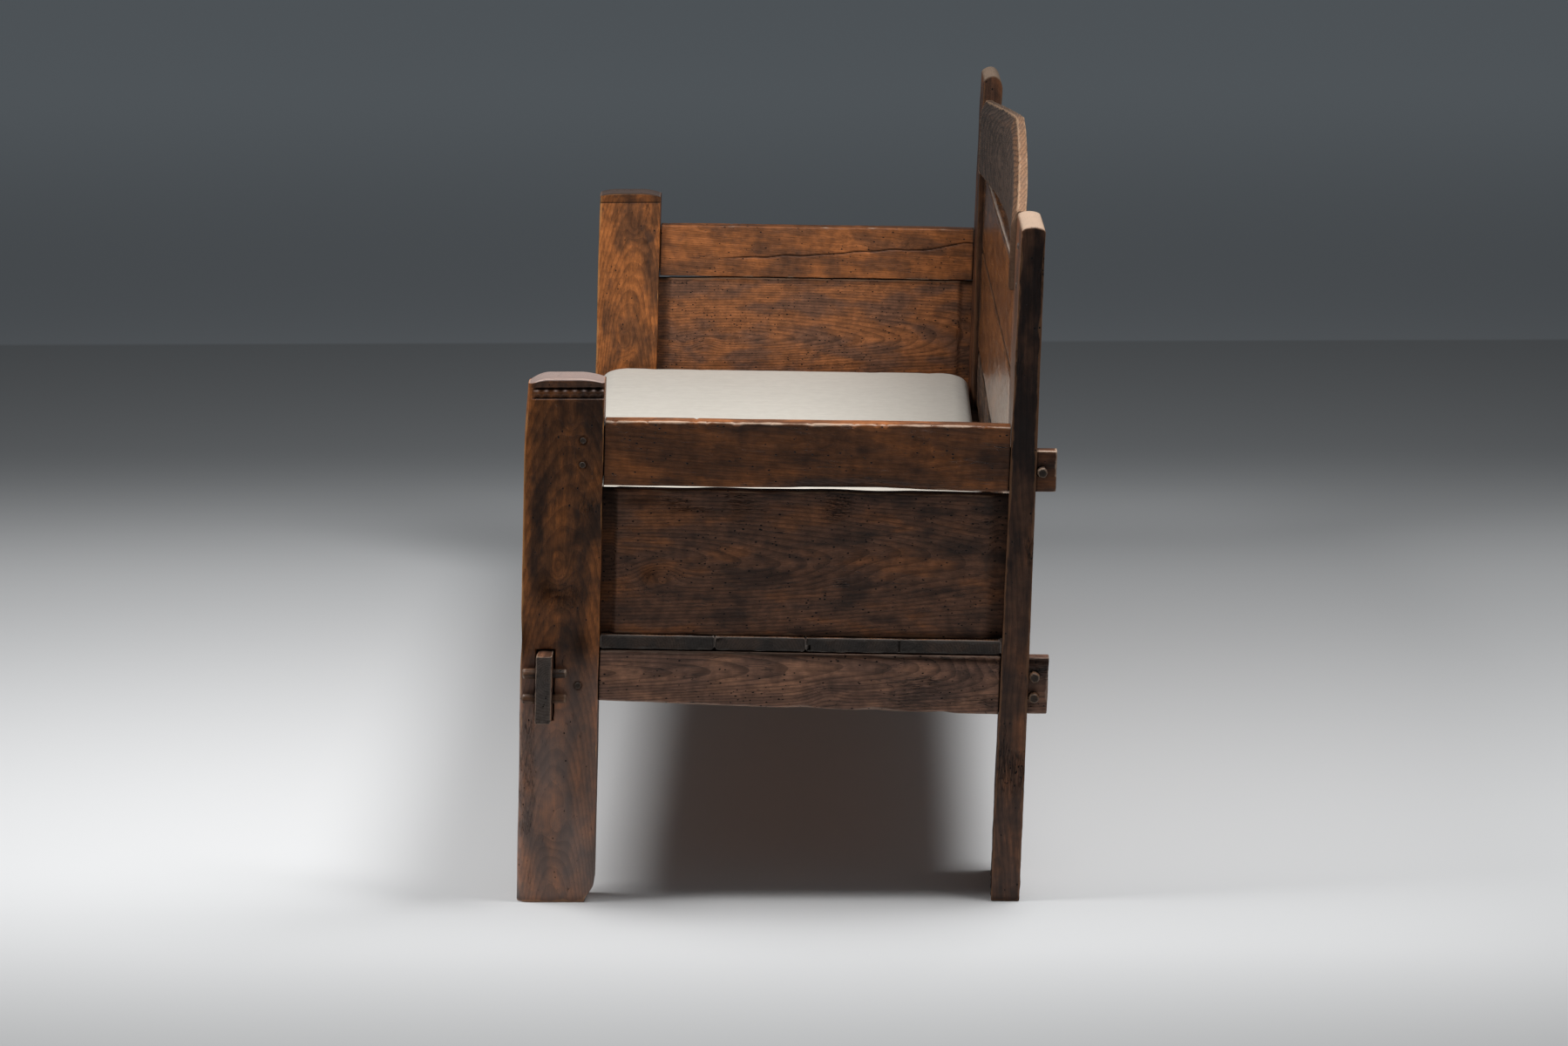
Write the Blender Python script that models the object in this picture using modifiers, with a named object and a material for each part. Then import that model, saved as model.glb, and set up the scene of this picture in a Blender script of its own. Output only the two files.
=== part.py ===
"""Rustic three-seater bench in old oak, with a loose seat cushion.

Two end frames carry the bench. Each has a front post, a wide rear post, an arm rail, a lower side rail
and an end panel. The rails pass through the rear posts and the front seat rail passes through the front
posts, and round key pegs behind those tenons hold the frames together. Both posts lean back, and the
rails and the seat slope down to the rear. +X is the bench's length, -Y its front, +Z up.
Places in an end frame are worked out in the side view (Y, Z) from straight lines along the pieces' faces.
"""

import math

import bmesh
import bpy
from mathutils import Matrix, Vector

# Fits
FIT = 0.0003
PEG_SIDES = 16

# Overall, and the lean of the two end frames
LENGTH_OVER_POSTS = 1.820
POST_RAKE = math.radians(2.1)
RAIL_SLOPE = math.radians(1.1)
CLEAR_DEPTH = 0.523

# Posts
FRONT_POST_WIDTH = 0.103
FRONT_POST_THICKNESS = 0.048
FRONT_POST_HEIGHT = 0.706
FRONT_POST_WORN_CORNER = 0.026
FOOT_CHIP_WIDTH = 0.012
FOOT_CHIP_HEIGHT = 0.024
REAR_POST_WIDTH = 0.150
REAR_POST_FOOT_THICKNESS = 0.040
REAR_POST_TOP_THICKNESS = 0.032
REAR_POST_HEIGHT_RIGHT = 0.897
REAR_POST_HEIGHT_LEFT = 0.907
REAR_POST_DOME_RIGHT = 0.007
REAR_POST_DOME_LEFT = 0.018
DOME_STEPS = 8
POST_EDGE = 0.0025

# Rails of the end frames
RAIL_SETBACK = 0.002
ARM_RAIL_THICKNESS = 0.030
ARM_RAIL_DEPTH = 0.087
ARM_RAIL_TOP = 0.6475
LOWER_RAIL_THICKNESS = 0.032
LOWER_RAIL_DEPTH_FRONT = 0.071
LOWER_RAIL_DEPTH_REAR = 0.080
RAIL_EDGE = 0.002

# Tenons
TENON_THICKNESS = 0.022
TENON_SETBACK = 0.006
ARM_TENON_DEPTH = 0.055
ARM_STUB_LENGTH = 0.068
ARM_STUB_SHOULDER = 0.012
LOWER_STUB_LENGTH = 0.046
LOWER_STUB_SHOULDER = 0.008
REAR_TENON_REACH = 0.027
FRONT_TENON_REACH = 0.034
LOWER_TENON_TRIM = 0.002

# Pegs
KEY_PEG_HEAD = 0.0145
KEY_PEG_TIP = 0.0130
FRONT_KEY_PEG_LENGTH = 0.059
FRONT_KEY_PEG_PITCH = 0.034
REAR_KEY_PEG_LENGTH = 0.050
REAR_KEY_PEG_PITCH = 0.0275
DRAWBORE_DIAMETER = 0.0095
DRAWBORE_INSET = 0.027
ARM_DRAWBORE_PITCH = 0.032
LOWER_DRAWBORE_DROP = 0.013
BOARD_PEG_INSET = 0.075
BOARD_PEG_PITCH = 0.052
PEG_PROUD = 0.001
BORE_START = 0.010

# Seat
SEAT_HEIGHT = 0.3640
SEAT_THICKNESS = 0.019
SEAT_END_SETBACK = 0.004
FRONT_PLANK_WIDTH = 0.150
MIDDLE_PLANK_WIDTH = 0.119
SEAT_OVERHANG = 0.011
FRONT_RAIL_THICKNESS = 0.026
FRONT_RAIL_DEPTH = 0.096
FRONT_RAIL_INSET = 0.020
FRONT_TENON_THICKNESS = 0.022
FRONT_TENON_TRIM = 0.002
REAR_RAIL_DEPTH = 0.095
REAR_RAIL_THICKNESS = 0.028
REAR_RAIL_STUB = 0.040
REAR_RAIL_STUB_THICKNESS = 0.014
SEAT_PEG_DIAMETER = 0.010
SEAT_PEG_EDGE = 0.028
SEAT_PEG_LENGTH = 0.045

# End panels
PANEL_THICKNESS = 0.018
PANEL_SETBACK = 0.009
PANEL_TONGUE = 0.009
PANEL_TONGUE_THICKNESS = 0.009
PANEL_MARGIN = 0.022
PANEL_TOP_GAP = 0.004

# Back
BOARD_THICKNESS = 0.020
BOARD_SETBACK = 0.003
BOARD_TENON_THICKNESS = 0.013
BOARD_TENON_LENGTH = 0.020
BOARD_TENON_SHOULDER = 0.010
BOTTOM_BOARD_TOP = 0.452
LOWER_BOARD_TOP_LEFT = 0.618
LOWER_BOARD_TOP_RIGHT = 0.648
CREST_THICKNESS = 0.020
CREST_ADVANCE = 0.013
CREST_ARCH = 0.011
CREST_END_DROP_LEFT = 0.040
CREST_END_DROP_RIGHT = 0.001
CREST_END_DEPTH_LEFT = 0.123
CREST_END_DEPTH_RIGHT = 0.106
CREST_PEAK_RISE = 0.024
CREST_TOP_LEFT = REAR_POST_HEIGHT_LEFT - CREST_END_DROP_LEFT
CREST_TOP_RIGHT = REAR_POST_HEIGHT_RIGHT - CREST_END_DROP_RIGHT
CREST_PEAK = REAR_POST_HEIGHT_LEFT + CREST_PEAK_RISE
MIDDLE_BOARD_TOP_LEFT = CREST_TOP_LEFT - CREST_END_DEPTH_LEFT
MIDDLE_BOARD_TOP_RIGHT = CREST_TOP_RIGHT - CREST_END_DEPTH_RIGHT
CREST_BOW = 0.022
CREST_BOW_POWER = 1.5
CREST_MARGIN = 0.019
CREST_MARGIN_DEPTH = 0.008
CREST_TENON_THICKNESS = 0.008
CREST_TENON_SETBACK = 0.0055
CREST_TENON_LENGTH = 0.100
CREST_TENON_TRIM = 0.006
CREST_TENON_TOP_TRIM = 0.022
CREST_STEPS = 24

# Cushion
CUSHION_THICKNESS = 0.047
CUSHION_CORNER = 0.048
CUSHION_FRONT_INSET = 0.008
CUSHION_END_GAP = 0.004
CUSHION_BACK_GAP = 0.003
CORNER_STEPS = 8


def clear_scene():
    """Removes every object that the script starts with."""
    for thing in list(bpy.data.objects):
        bpy.data.objects.remove(thing, do_unlink=True)


def new_collection(name):
    """A collection under the scene's own one."""
    collection = bpy.data.collections.new(name)
    bpy.context.scene.collection.children.link(collection)
    return collection


clear_scene()
BENCH = new_collection("three_seater_bench")
CUTTERS = new_collection("cutters")


def make_material(name, colour, roughness):
    """A plain Principled finish."""
    material = bpy.data.materials.new(name)
    material.use_nodes = True
    shader = material.node_tree.nodes["Principled BSDF"]
    shader.inputs["Base Color"].default_value = (*colour, 1.0)
    shader.inputs["Roughness"].default_value = roughness
    shader.inputs["Metallic"].default_value = 0.0
    return material


DARK_OAK = make_material("dark_oak", (0.075, 0.037, 0.018), 0.45)
BROWN_OAK = make_material("brown_oak", (0.11, 0.052, 0.025), 0.5)
WARM_OAK = make_material("warm_oak", (0.20, 0.085, 0.033), 0.35)
ROUGH_OAK = make_material("rough_oak", (0.10, 0.065, 0.045), 0.8)
PEG_WOOD = make_material("peg_wood", (0.13, 0.075, 0.042), 0.6)
LINEN = make_material("linen", (0.56, 0.52, 0.46), 0.9)


def add_object(name, mesh, material, collection=BENCH):
    """Puts a mesh in the scene as a named object with its own finish."""
    item = bpy.data.objects.new(name, mesh)
    if material:
        mesh.materials.append(material)
    collection.objects.link(item)
    return item


def drawn_solid(name, outline, thickness, place, material, collection=BENCH):
    """A flat outline given a thickness on both sides of its own plane, then set in place."""
    curve = bpy.data.curves.new(name, "CURVE")
    curve.dimensions = "2D"
    curve.fill_mode = "BOTH"
    curve.extrude = thickness / 2
    spline = curve.splines.new("POLY")
    spline.points.add(len(outline) - 1)
    for point, (across, up) in zip(spline.points, outline):
        point.co = (across, up, 0.0, 1.0)
    spline.use_cyclic_u = True
    drawing = bpy.data.objects.new(name + "_drawing", curve)
    drawing.matrix_world = place
    CUTTERS.objects.link(drawing)
    graph = bpy.context.evaluated_depsgraph_get()
    mesh = bpy.data.meshes.new_from_object(drawing.evaluated_get(graph))
    work = bmesh.new()
    work.from_mesh(mesh)
    bmesh.ops.remove_doubles(work, verts=work.verts, dist=0.00001)
    bmesh.ops.dissolve_limit(work, angle_limit=math.radians(0.5), verts=work.verts, edges=work.edges)
    work.to_mesh(mesh)
    work.free()
    item = add_object(name, mesh, material, collection)
    item.matrix_world = drawing.matrix_world.copy()
    bpy.data.objects.remove(drawing)
    bpy.data.curves.remove(curve)
    return item


def side_place(x):
    """The side view's plane at x: across runs along Y, up runs along Z, thickness along X."""
    return Matrix(((0, 0, 1, x), (1, 0, 0, 0), (0, 1, 0, 0), (0, 0, 0, 1)))


def side_solid(name, outline, x_low, x_high, material, collection=BENCH):
    """A side-view outline of (y, z) points between two planes across the bench."""
    place = side_place((x_low + x_high) / 2)
    return drawn_solid(name, outline, abs(x_high - x_low), place, material, collection)


def as_cutter(item):
    """Marks an object as a tool that other pieces are cut or joined with."""
    for collection in list(item.users_collection):
        collection.objects.unlink(item)
    CUTTERS.objects.link(item)
    item.hide_render = True
    item.display_type = "WIRE"
    return item


def soften(item, width):
    """Eases the arrises of a piece."""
    bevel = item.modifiers.new("arrises", "BEVEL")
    bevel.width = width
    bevel.segments = 1
    bevel.limit_method = "ANGLE"
    bevel.angle_limit = math.radians(35)


def combine(item, tool, operation):
    """Adds one live Boolean with a hidden tool."""
    step = item.modifiers.new(operation.lower(), "BOOLEAN")
    step.operation = operation
    step.object = as_cutter(tool)


def cut(item, tool):
    """Takes the tool's shape out of a piece."""
    combine(item, tool, "DIFFERENCE")


def weld(item, tool):
    """Makes the tool's shape one body with a piece."""
    combine(item, tool, "UNION")


def turn_to(direction):
    """The rotation that takes +Z to a direction."""
    return Vector((0, 0, 1)).rotation_difference(Vector(direction)).to_matrix().to_4x4()


def round_peg(name, start, direction, length, head, tip, material, collection=BENCH):
    """A round peg from its head at start to its tip, with its origin at the head's centre."""
    work = bmesh.new()
    bmesh.ops.create_cone(
        work, cap_ends=True, segments=PEG_SIDES, radius1=head / 2, radius2=tip / 2, depth=length
    )
    bmesh.ops.translate(work, verts=work.verts, vec=(0, 0, length / 2))
    mesh = bpy.data.meshes.new(name)
    work.to_mesh(mesh)
    work.free()
    mesh.shade_smooth()
    mesh.set_sharp_from_angle(angle=math.radians(40))
    item = add_object(name, mesh, material, collection)
    item.matrix_world = Matrix.Translation(start) @ turn_to(direction)
    return item


def straight_pegs(name, heads, direction, length, diameter):
    """Like pegs driven the same way, each a piece of its own."""
    for number, head in enumerate(heads, 1):
        round_peg(f"{name}_{number}", head, direction, length, diameter, diameter, PEG_WOOD)


def bore_pegs(item, heads, direction, length, diameter):
    """Bores a running hole through a piece for each straight peg, from just outside its head."""
    for number, head in enumerate(heads):
        start = Vector(head) - Vector(direction) * BORE_START
        hole = round_peg(
            f"{item.name}_hole_{number}", start, direction, BORE_START + length + FIT,
            diameter + 2 * FIT, diameter + 2 * FIT, None, CUTTERS,
        )
        cut(item, hole)


# A post's face is a line (y at the floor, y gained per z). A rail's is (z at y = 0, z gained per y).
RAKE = math.tan(POST_RAKE)
DROP = -math.tan(RAIL_SLOPE)
POST_END = LENGTH_OVER_POSTS / 2


def meet(post_face, rail_face):
    """The point (y, z) where a post's face crosses a rail's face."""
    y = (post_face[0] + post_face[1] * rail_face[0]) / (1 - post_face[1] * rail_face[1])
    return (y, rail_face[0] + rail_face[1] * y)


def shifted(face, distance):
    """The same face moved along Y if a post's, or along Z if a rail's."""
    return (face[0] + distance, face[1])


def quad(face_front, face_rear, face_low, face_high):
    """The four-sided outline between two posts' faces and two rails' faces."""
    return [
        meet(face_front, face_low), meet(face_rear, face_low),
        meet(face_rear, face_high), meet(face_front, face_high),
    ]


# Posts' faces in a frame whose y = 0 is the front foot's front edge; all are moved to the centre below
REAR_TAPER = (REAR_POST_FOOT_THICKNESS - REAR_POST_TOP_THICKNESS) / 2 / REAR_POST_HEIGHT_RIGHT
FRONT_POST_SPAN = FRONT_POST_WIDTH / math.cos(POST_RAKE)
REAR_AXIS = FRONT_POST_SPAN + CLEAR_DEPTH + REAR_POST_FOOT_THICKNESS / 2
REAR_REACH = REAR_AXIS + REAR_POST_FOOT_THICKNESS / 2 + REAR_TENON_REACH
ARM_TENON_TOP = ARM_RAIL_TOP - ARM_RAIL_DEPTH + ARM_TENON_DEPTH
ARM_START = FRONT_POST_SPAN + RAKE * ARM_RAIL_TOP
OVERALL_DEPTH = meet((REAR_REACH, RAKE - REAR_TAPER), (ARM_TENON_TOP - DROP * ARM_START, DROP))[0]
Y_FRONT = -OVERALL_DEPTH / 2

FRONT_FACE = (Y_FRONT, RAKE)
FRONT_BACK = shifted(FRONT_FACE, FRONT_POST_SPAN)
REAR_MIDDLE = (Y_FRONT + REAR_AXIS, RAKE)
REAR_FRONT = (REAR_MIDDLE[0] - REAR_POST_FOOT_THICKNESS / 2, RAKE + REAR_TAPER)
REAR_BACK = (REAR_MIDDLE[0] + REAR_POST_FOOT_THICKNESS / 2, RAKE - REAR_TAPER)


def rail_line(y, z):
    """A rail's face through one point."""
    return (z - DROP * y, DROP)


ARM_TOP = rail_line(FRONT_BACK[0] + RAKE * ARM_RAIL_TOP, ARM_RAIL_TOP)
ARM_LOW = shifted(ARM_TOP, -ARM_RAIL_DEPTH)
SEAT_TOP = rail_line(Y_FRONT, SEAT_HEIGHT)
SEAT_LOW = shifted(SEAT_TOP, -SEAT_THICKNESS)
LOWER_TOP = shifted(SEAT_LOW, -FIT)
LOWER_GAIN = (LOWER_RAIL_DEPTH_REAR - LOWER_RAIL_DEPTH_FRONT) / CLEAR_DEPTH
LOWER_LOW = (
    LOWER_TOP[0] - LOWER_RAIL_DEPTH_FRONT + LOWER_GAIN * meet(FRONT_BACK, LOWER_TOP)[0],
    DROP - LOWER_GAIN,
)

# Planes across the bench, for the right end
RAIL_OUT = POST_END - RAIL_SETBACK
TENON_OUT = POST_END - TENON_SETBACK
TENON_IN = TENON_OUT - TENON_THICKNESS
FRONT_POST_IN = POST_END - FRONT_POST_THICKNESS
REAR_POST_IN = POST_END - REAR_POST_WIDTH
PANEL_OUT = RAIL_OUT - PANEL_SETBACK
PANEL_IN = PANEL_OUT - PANEL_THICKNESS
TONGUE_MIDDLE = (TENON_OUT + TENON_IN) / 2


def faced(side, a, b):
    """Two planes of the right end, or their mirror images for the left."""
    return (side * a, side * b)


# Front seat rail: its tenon passes through each front post, held by two key pegs
RAIL_FRONT = shifted(FRONT_FACE, FRONT_RAIL_INSET)
RAIL_BACK = shifted(RAIL_FRONT, FRONT_RAIL_THICKNESS)
RAIL_TOP = shifted(SEAT_LOW, -FIT)
RAIL_LOW = shifted(RAIL_TOP, -FRONT_RAIL_DEPTH)
TENON_CHEEK = (FRONT_RAIL_THICKNESS - FRONT_TENON_THICKNESS) / 2
FRONT_TENON = (
    shifted(RAIL_FRONT, TENON_CHEEK), shifted(RAIL_BACK, -TENON_CHEEK),
    shifted(RAIL_LOW, FRONT_TENON_TRIM), shifted(RAIL_TOP, -FRONT_TENON_TRIM),
)
FRONT_KEY_X = POST_END + FIT + KEY_PEG_HEAD / 2

# Tenons of the arm and lower rails: (shoulder face, end face, low face, high face)
REAR_TENON_END = shifted(REAR_BACK, REAR_TENON_REACH)
ARM_THROUGH = (REAR_FRONT, REAR_TENON_END, ARM_LOW, shifted(ARM_LOW, ARM_TENON_DEPTH))
LOWER_THROUGH = (
    REAR_FRONT, REAR_TENON_END,
    shifted(LOWER_LOW, LOWER_TENON_TRIM), shifted(LOWER_TOP, -LOWER_TENON_TRIM),
)
ARM_STUB = (
    shifted(FRONT_BACK, -ARM_STUB_LENGTH), FRONT_BACK,
    shifted(ARM_LOW, ARM_STUB_SHOULDER), shifted(ARM_TOP, -ARM_STUB_SHOULDER),
)
LOWER_STUB = (
    shifted(FRONT_BACK, -LOWER_STUB_LENGTH), FRONT_BACK,
    shifted(LOWER_LOW, LOWER_STUB_SHOULDER), shifted(LOWER_TOP, -LOWER_STUB_SHOULDER),
)


def grown(tenon):
    """A tenon's faces moved out by the fit, for its mortise."""
    front, rear, low, high = tenon
    return (shifted(front, -FIT), shifted(rear, FIT), shifted(low, -FIT), shifted(high, FIT))


def mortise(name, tenon, x_low, x_high):
    """The hole that a tenon passes through, a fit larger all round."""
    low, high = min(x_low, x_high) - FIT, max(x_low, x_high) + FIT
    return side_solid(name, quad(*grown(tenon)), low, high, None, CUTTERS)


def middle_of(tenon, inset_from_shoulder):
    """The point (y, z) halfway up a stub tenon, at a distance in front of the post's rear edge."""
    _, shoulder, low, high = tenon
    line = shifted(shoulder, -inset_from_shoulder)
    bottom, top = meet(line, low), meet(line, high)
    return ((bottom[0] + top[0]) / 2, (bottom[1] + top[1]) / 2)


def pegs_about(centre, lean, pitch, count):
    """Points (y, z) a pitch apart along a post, centred on one point."""
    steps = [(number - (count - 1) / 2) * pitch for number in range(count)]
    return [(centre[0] + lean * step, centre[1] + step) for step in steps]


ARM_PEGS = pegs_about(middle_of(ARM_STUB, DRAWBORE_INSET), RAKE, ARM_DRAWBORE_PITCH, 2)
LOWER_PEG_MIDDLE = middle_of(LOWER_STUB, DRAWBORE_INSET)
LOWER_PEGS = [(LOWER_PEG_MIDDLE[0] - RAKE * LOWER_DRAWBORE_DROP, LOWER_PEG_MIDDLE[1] - LOWER_DRAWBORE_DROP)]
PEG_HOLE_LENGTH = FRONT_POST_THICKNESS + PEG_PROUD


def drawbore_heads(side, places):
    """The heads of pegs driven in from an end frame's outer face."""
    return [Vector((side * (POST_END + PEG_PROUD), y, z)) for y, z in places]


def rear_key_places(tenon, count):
    """The axes (y, z) of the key pegs that stand just behind the rear post."""
    _, _, low, high = tenon
    line = shifted(REAR_BACK, FIT + KEY_PEG_HEAD / 2 / math.cos(POST_RAKE))
    bottom, top = meet(line, low), meet(line, high)
    centre = ((bottom[0] + top[0]) / 2, (bottom[1] + top[1]) / 2)
    return pegs_about(centre, RAKE - REAR_TAPER, REAR_KEY_PEG_PITCH, count)


ARM_KEYS = rear_key_places(ARM_THROUGH, 1)
LOWER_KEYS = rear_key_places(LOWER_THROUGH, 2)
REAR_KEY_HEAD = (TENON_OUT + TENON_IN) / 2 + REAR_KEY_PEG_LENGTH / 2
FRONT_KEY_MIDDLE = (
    meet(shifted(RAIL_FRONT, FRONT_RAIL_THICKNESS / 2), RAIL_LOW),
    meet(shifted(RAIL_FRONT, FRONT_RAIL_THICKNESS / 2), RAIL_TOP),
)
FRONT_KEYS = pegs_about(
    tuple(sum(values) / 2 for values in zip(*FRONT_KEY_MIDDLE)), RAKE, FRONT_KEY_PEG_PITCH, 2
)


def key_start(side, place, across):
    """The centre of a key peg's head: across picks the pegs that cross the front rail's tenon."""
    y, z = place
    if across:
        return Vector((side * FRONT_KEY_X, y - FRONT_KEY_PEG_LENGTH / 2, z))
    return Vector((side * REAR_KEY_HEAD, y, z))


def key_direction(side, across):
    """The way a key peg is driven in."""
    return (0, 1, 0) if across else (-side, 0, 0)


def key_peg(name, side, place, across, length):
    """A tapered key peg that is driven in from its thick end."""
    start = key_start(side, place, across)
    return round_peg(name, start, key_direction(side, across), length, KEY_PEG_HEAD, KEY_PEG_TIP, PEG_WOOD)


def key_holes(item, side, places, across, length):
    """Bores the tapered holes for key pegs, a fit larger, through a tenon."""
    taper = (KEY_PEG_HEAD - KEY_PEG_TIP) / length
    for number, place in enumerate(places):
        direction = Vector(key_direction(side, across))
        start = key_start(side, place, across) - direction * length / 2
        head = KEY_PEG_HEAD + taper * length / 2 + 2 * FIT
        tip = KEY_PEG_TIP - taper * length / 2 + 2 * FIT
        hole = round_peg(
            f"{item.name}_key_hole_{number}", start, direction, 2 * length, head, tip, None, CUTTERS
        )
        cut(item, hole)


def front_post(side, name):
    """A plank on edge with a foot cut level, a domed top and the mortises for the three rails."""
    top = FRONT_POST_HEIGHT
    worn = FRONT_POST_WORN_CORNER
    front = FRONT_FACE[0] + RAKE * top
    back = FRONT_BACK[0] + RAKE * top
    outline = [
        (FRONT_FACE[0], 0.0),
        (FRONT_BACK[0] - FOOT_CHIP_WIDTH, 0.0),
        (FRONT_BACK[0] + RAKE * FOOT_CHIP_HEIGHT, FOOT_CHIP_HEIGHT),
        (back - RAKE * worn / 4, top - worn / 4),
        (back - worn / 8, top),
        (front + 2 * worn, top),
        (front + worn, top - worn / 8),
        (front + worn / 4, top - worn / 2),
        (front - RAKE * 3 * worn, top - 3 * worn),
    ]
    post = side_solid(name, outline, *faced(side, FRONT_POST_IN, POST_END), DARK_OAK)
    soften(post, POST_EDGE)
    cut(post, mortise(name + "_arm_mortise", ARM_STUB, *faced(side, TENON_IN, TENON_OUT)))
    cut(post, mortise(name + "_lower_mortise", LOWER_STUB, *faced(side, TENON_IN, TENON_OUT)))
    past = FRONT_TENON_REACH
    seat = mortise(
        name + "_seat_mortise", FRONT_TENON, *faced(side, FRONT_POST_IN - past, POST_END + past)
    )
    cut(post, seat)
    groove_for_panel(post, FRONT_BACK, side)
    bore_pegs(post, drawbore_heads(side, ARM_PEGS + LOWER_PEGS), (-side, 0, 0), PEG_HOLE_LENGTH,
              DRAWBORE_DIAMETER)
    return post


def groove_for_panel(post, face, side):
    """Ploughs the groove that holds one end of the end panel."""
    deep = PANEL_TONGUE + FIT
    half = PANEL_TONGUE_THICKNESS / 2 + FIT
    tool = side_solid(
        post.name + "_groove", quad(shifted(face, -deep), shifted(face, deep), SEAT_TOP, ARM_LOW),
        *faced(side, TONGUE_MIDDLE - half, TONGUE_MIDDLE + half), None, CUTTERS,
    )
    cut(post, tool)


def rear_post(side, name, height, dome):
    """A wide plank with a domed top, mortised for the rails and grooved for the back boards."""
    shoulder = height - dome
    front, back = REAR_FRONT[0] + REAR_FRONT[1] * shoulder, REAR_BACK[0] + REAR_BACK[1] * shoulder
    centre, half = (front + back) / 2, (back - front) / 2
    turns = [math.pi * step / DOME_STEPS for step in range(DOME_STEPS + 1)]
    crown = [(centre + half * math.cos(turn), shoulder + dome * math.sin(turn)) for turn in turns]
    outline = [(REAR_FRONT[0], 0.0), (REAR_BACK[0], 0.0), *crown]
    post = side_solid(name, outline, *faced(side, REAR_POST_IN, POST_END), DARK_OAK)
    soften(post, POST_EDGE)
    x_tenon = faced(side, TENON_IN, TENON_OUT)
    cut(post, mortise(name + "_arm_mortise", through(ARM_THROUGH), *x_tenon))
    cut(post, mortise(name + "_lower_mortise", through(LOWER_THROUGH), *x_tenon))
    groove_for_panel(post, REAR_FRONT, side)
    return post


def through(tenon):
    """A through tenon's faces carried past the front of the rear post, for a clean mortise."""
    front, rear, low, high = tenon
    return (shifted(front, -REAR_TENON_REACH), rear, low, high)


def side_rail(side, name, thickness, faces, tenon, stub, material):
    """A rail of an end frame with a through tenon at the rear and a stub tenon at the front."""
    low, high = faces
    body = quad(shifted(FRONT_BACK, FIT), shifted(REAR_FRONT, -FIT), low, high)
    rail = side_solid(name, body, *faced(side, RAIL_OUT - thickness, RAIL_OUT), material)
    soften(rail, RAIL_EDGE)
    x_tenon = faced(side, TENON_IN, TENON_OUT)
    root = thickness / 2
    rear = (shifted(tenon[0], -root), *tenon[1:])
    front = (stub[0], shifted(stub[1], root), *stub[2:])
    weld(rail, side_solid(name + "_tenon", quad(*rear), *x_tenon, None, CUTTERS))
    weld(rail, side_solid(name + "_stub", quad(*front), *x_tenon, None, CUTTERS))
    return rail


def end_panel(side, name):
    """A panel fielded at both ends, its tongues in the posts' grooves, standing on the seat planks."""
    low, high = shifted(SEAT_TOP, FIT), shifted(ARM_LOW, -PANEL_TOP_GAP)
    body = quad(shifted(FRONT_BACK, PANEL_MARGIN), shifted(REAR_FRONT, -PANEL_MARGIN), low, high)
    panel = side_solid(name, body, *faced(side, PANEL_IN, PANEL_OUT), BROWN_OAK)
    soften(panel, (PANEL_THICKNESS - PANEL_TONGUE_THICKNESS) / 4)
    reach = PANEL_TONGUE
    tongue = quad(shifted(FRONT_BACK, -reach), shifted(REAR_FRONT, reach), low, high)
    half = PANEL_TONGUE_THICKNESS / 2
    planes = faced(side, TONGUE_MIDDLE - half, TONGUE_MIDDLE + half)
    weld(panel, side_solid(name + "_tongue", tongue, *planes, None, CUTTERS))
    return panel


def front_seat_rail():
    """The long front rail under the seat, with a through tenon at each end."""
    reach = FRONT_POST_IN - FIT
    rail = side_solid(
        "front_seat_rail", quad(RAIL_FRONT, RAIL_BACK, RAIL_LOW, RAIL_TOP), -reach, reach, DARK_OAK
    )
    soften(rail, RAIL_EDGE)
    end = POST_END + FRONT_TENON_REACH
    weld(rail, side_solid("front_seat_rail_tenons", quad(*FRONT_TENON), -end, end, None, CUTTERS))
    for side in (1, -1):
        key_holes(rail, side, FRONT_KEYS, True, FRONT_KEY_PEG_LENGTH)
    return rail


# Back: boards stand one on another in the plane of the rear posts
BOARD_MIDDLE = shifted(REAR_MIDDLE, BOARD_SETBACK)
BOARD_FRONT = shifted(BOARD_MIDDLE, -BOARD_THICKNESS / 2)
BOARD_BACK = shifted(BOARD_MIDDLE, BOARD_THICKNESS / 2)
CREST_MIDDLE = shifted(REAR_MIDDLE, -CREST_ADVANCE)
CREST_FRONT = shifted(CREST_MIDDLE, -CREST_THICKNESS / 2)
CREST_BACK = shifted(CREST_MIDDLE, CREST_THICKNESS / 2)
CREST_TENON_MIDDLE = shifted(CREST_MIDDLE, CREST_TENON_SETBACK)
BOARD_END = REAR_POST_IN - FIT


def board_level(z):
    """A board's edge square to the back's lean, through the back's middle at height z."""
    y = REAR_MIDDLE[0] + RAKE * z
    return (z + RAKE * y, -RAKE)


def tilted(z_left, z_right, x):
    """The height at x of an edge that runs from one height at the left post to another at the right."""
    share = (x + BOARD_END) / (2 * BOARD_END)
    return z_left + (z_right - z_left) * share


def loft(name, sections, material, collection=BENCH):
    """A closed solid through like sections of (y, z) points at rising x."""
    work = bmesh.new()
    rings = [[work.verts.new((x, y, z)) for y, z in ring] for x, ring in sections]
    work.faces.new(rings[0][::-1])
    work.faces.new(rings[-1])
    count = len(rings[0])
    for one, two in zip(rings, rings[1:]):
        for corner in range(count):
            following = (corner + 1) % count
            work.faces.new((one[corner], one[following], two[following], two[corner]))
    bmesh.ops.recalc_face_normals(work, faces=work.faces)
    mesh = bpy.data.meshes.new(name)
    work.to_mesh(mesh)
    work.free()
    return add_object(name, mesh, material, collection)


def board(name, lows, highs, material):
    """A back board whose low and high edges run straight between heights at the two posts."""
    sections = []
    for x in (-BOARD_END, BOARD_END):
        low, high = board_level(tilted(*lows, x)), board_level(tilted(*highs, x))
        sections.append((x, quad(BOARD_FRONT, BOARD_BACK, low, high)))
    item = loft(name, sections, material)
    soften(item, RAIL_EDGE)
    for side in (1, -1):
        weld(item, board_tenon(item.name, side, lows, highs, 0.0))
    return item


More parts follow.
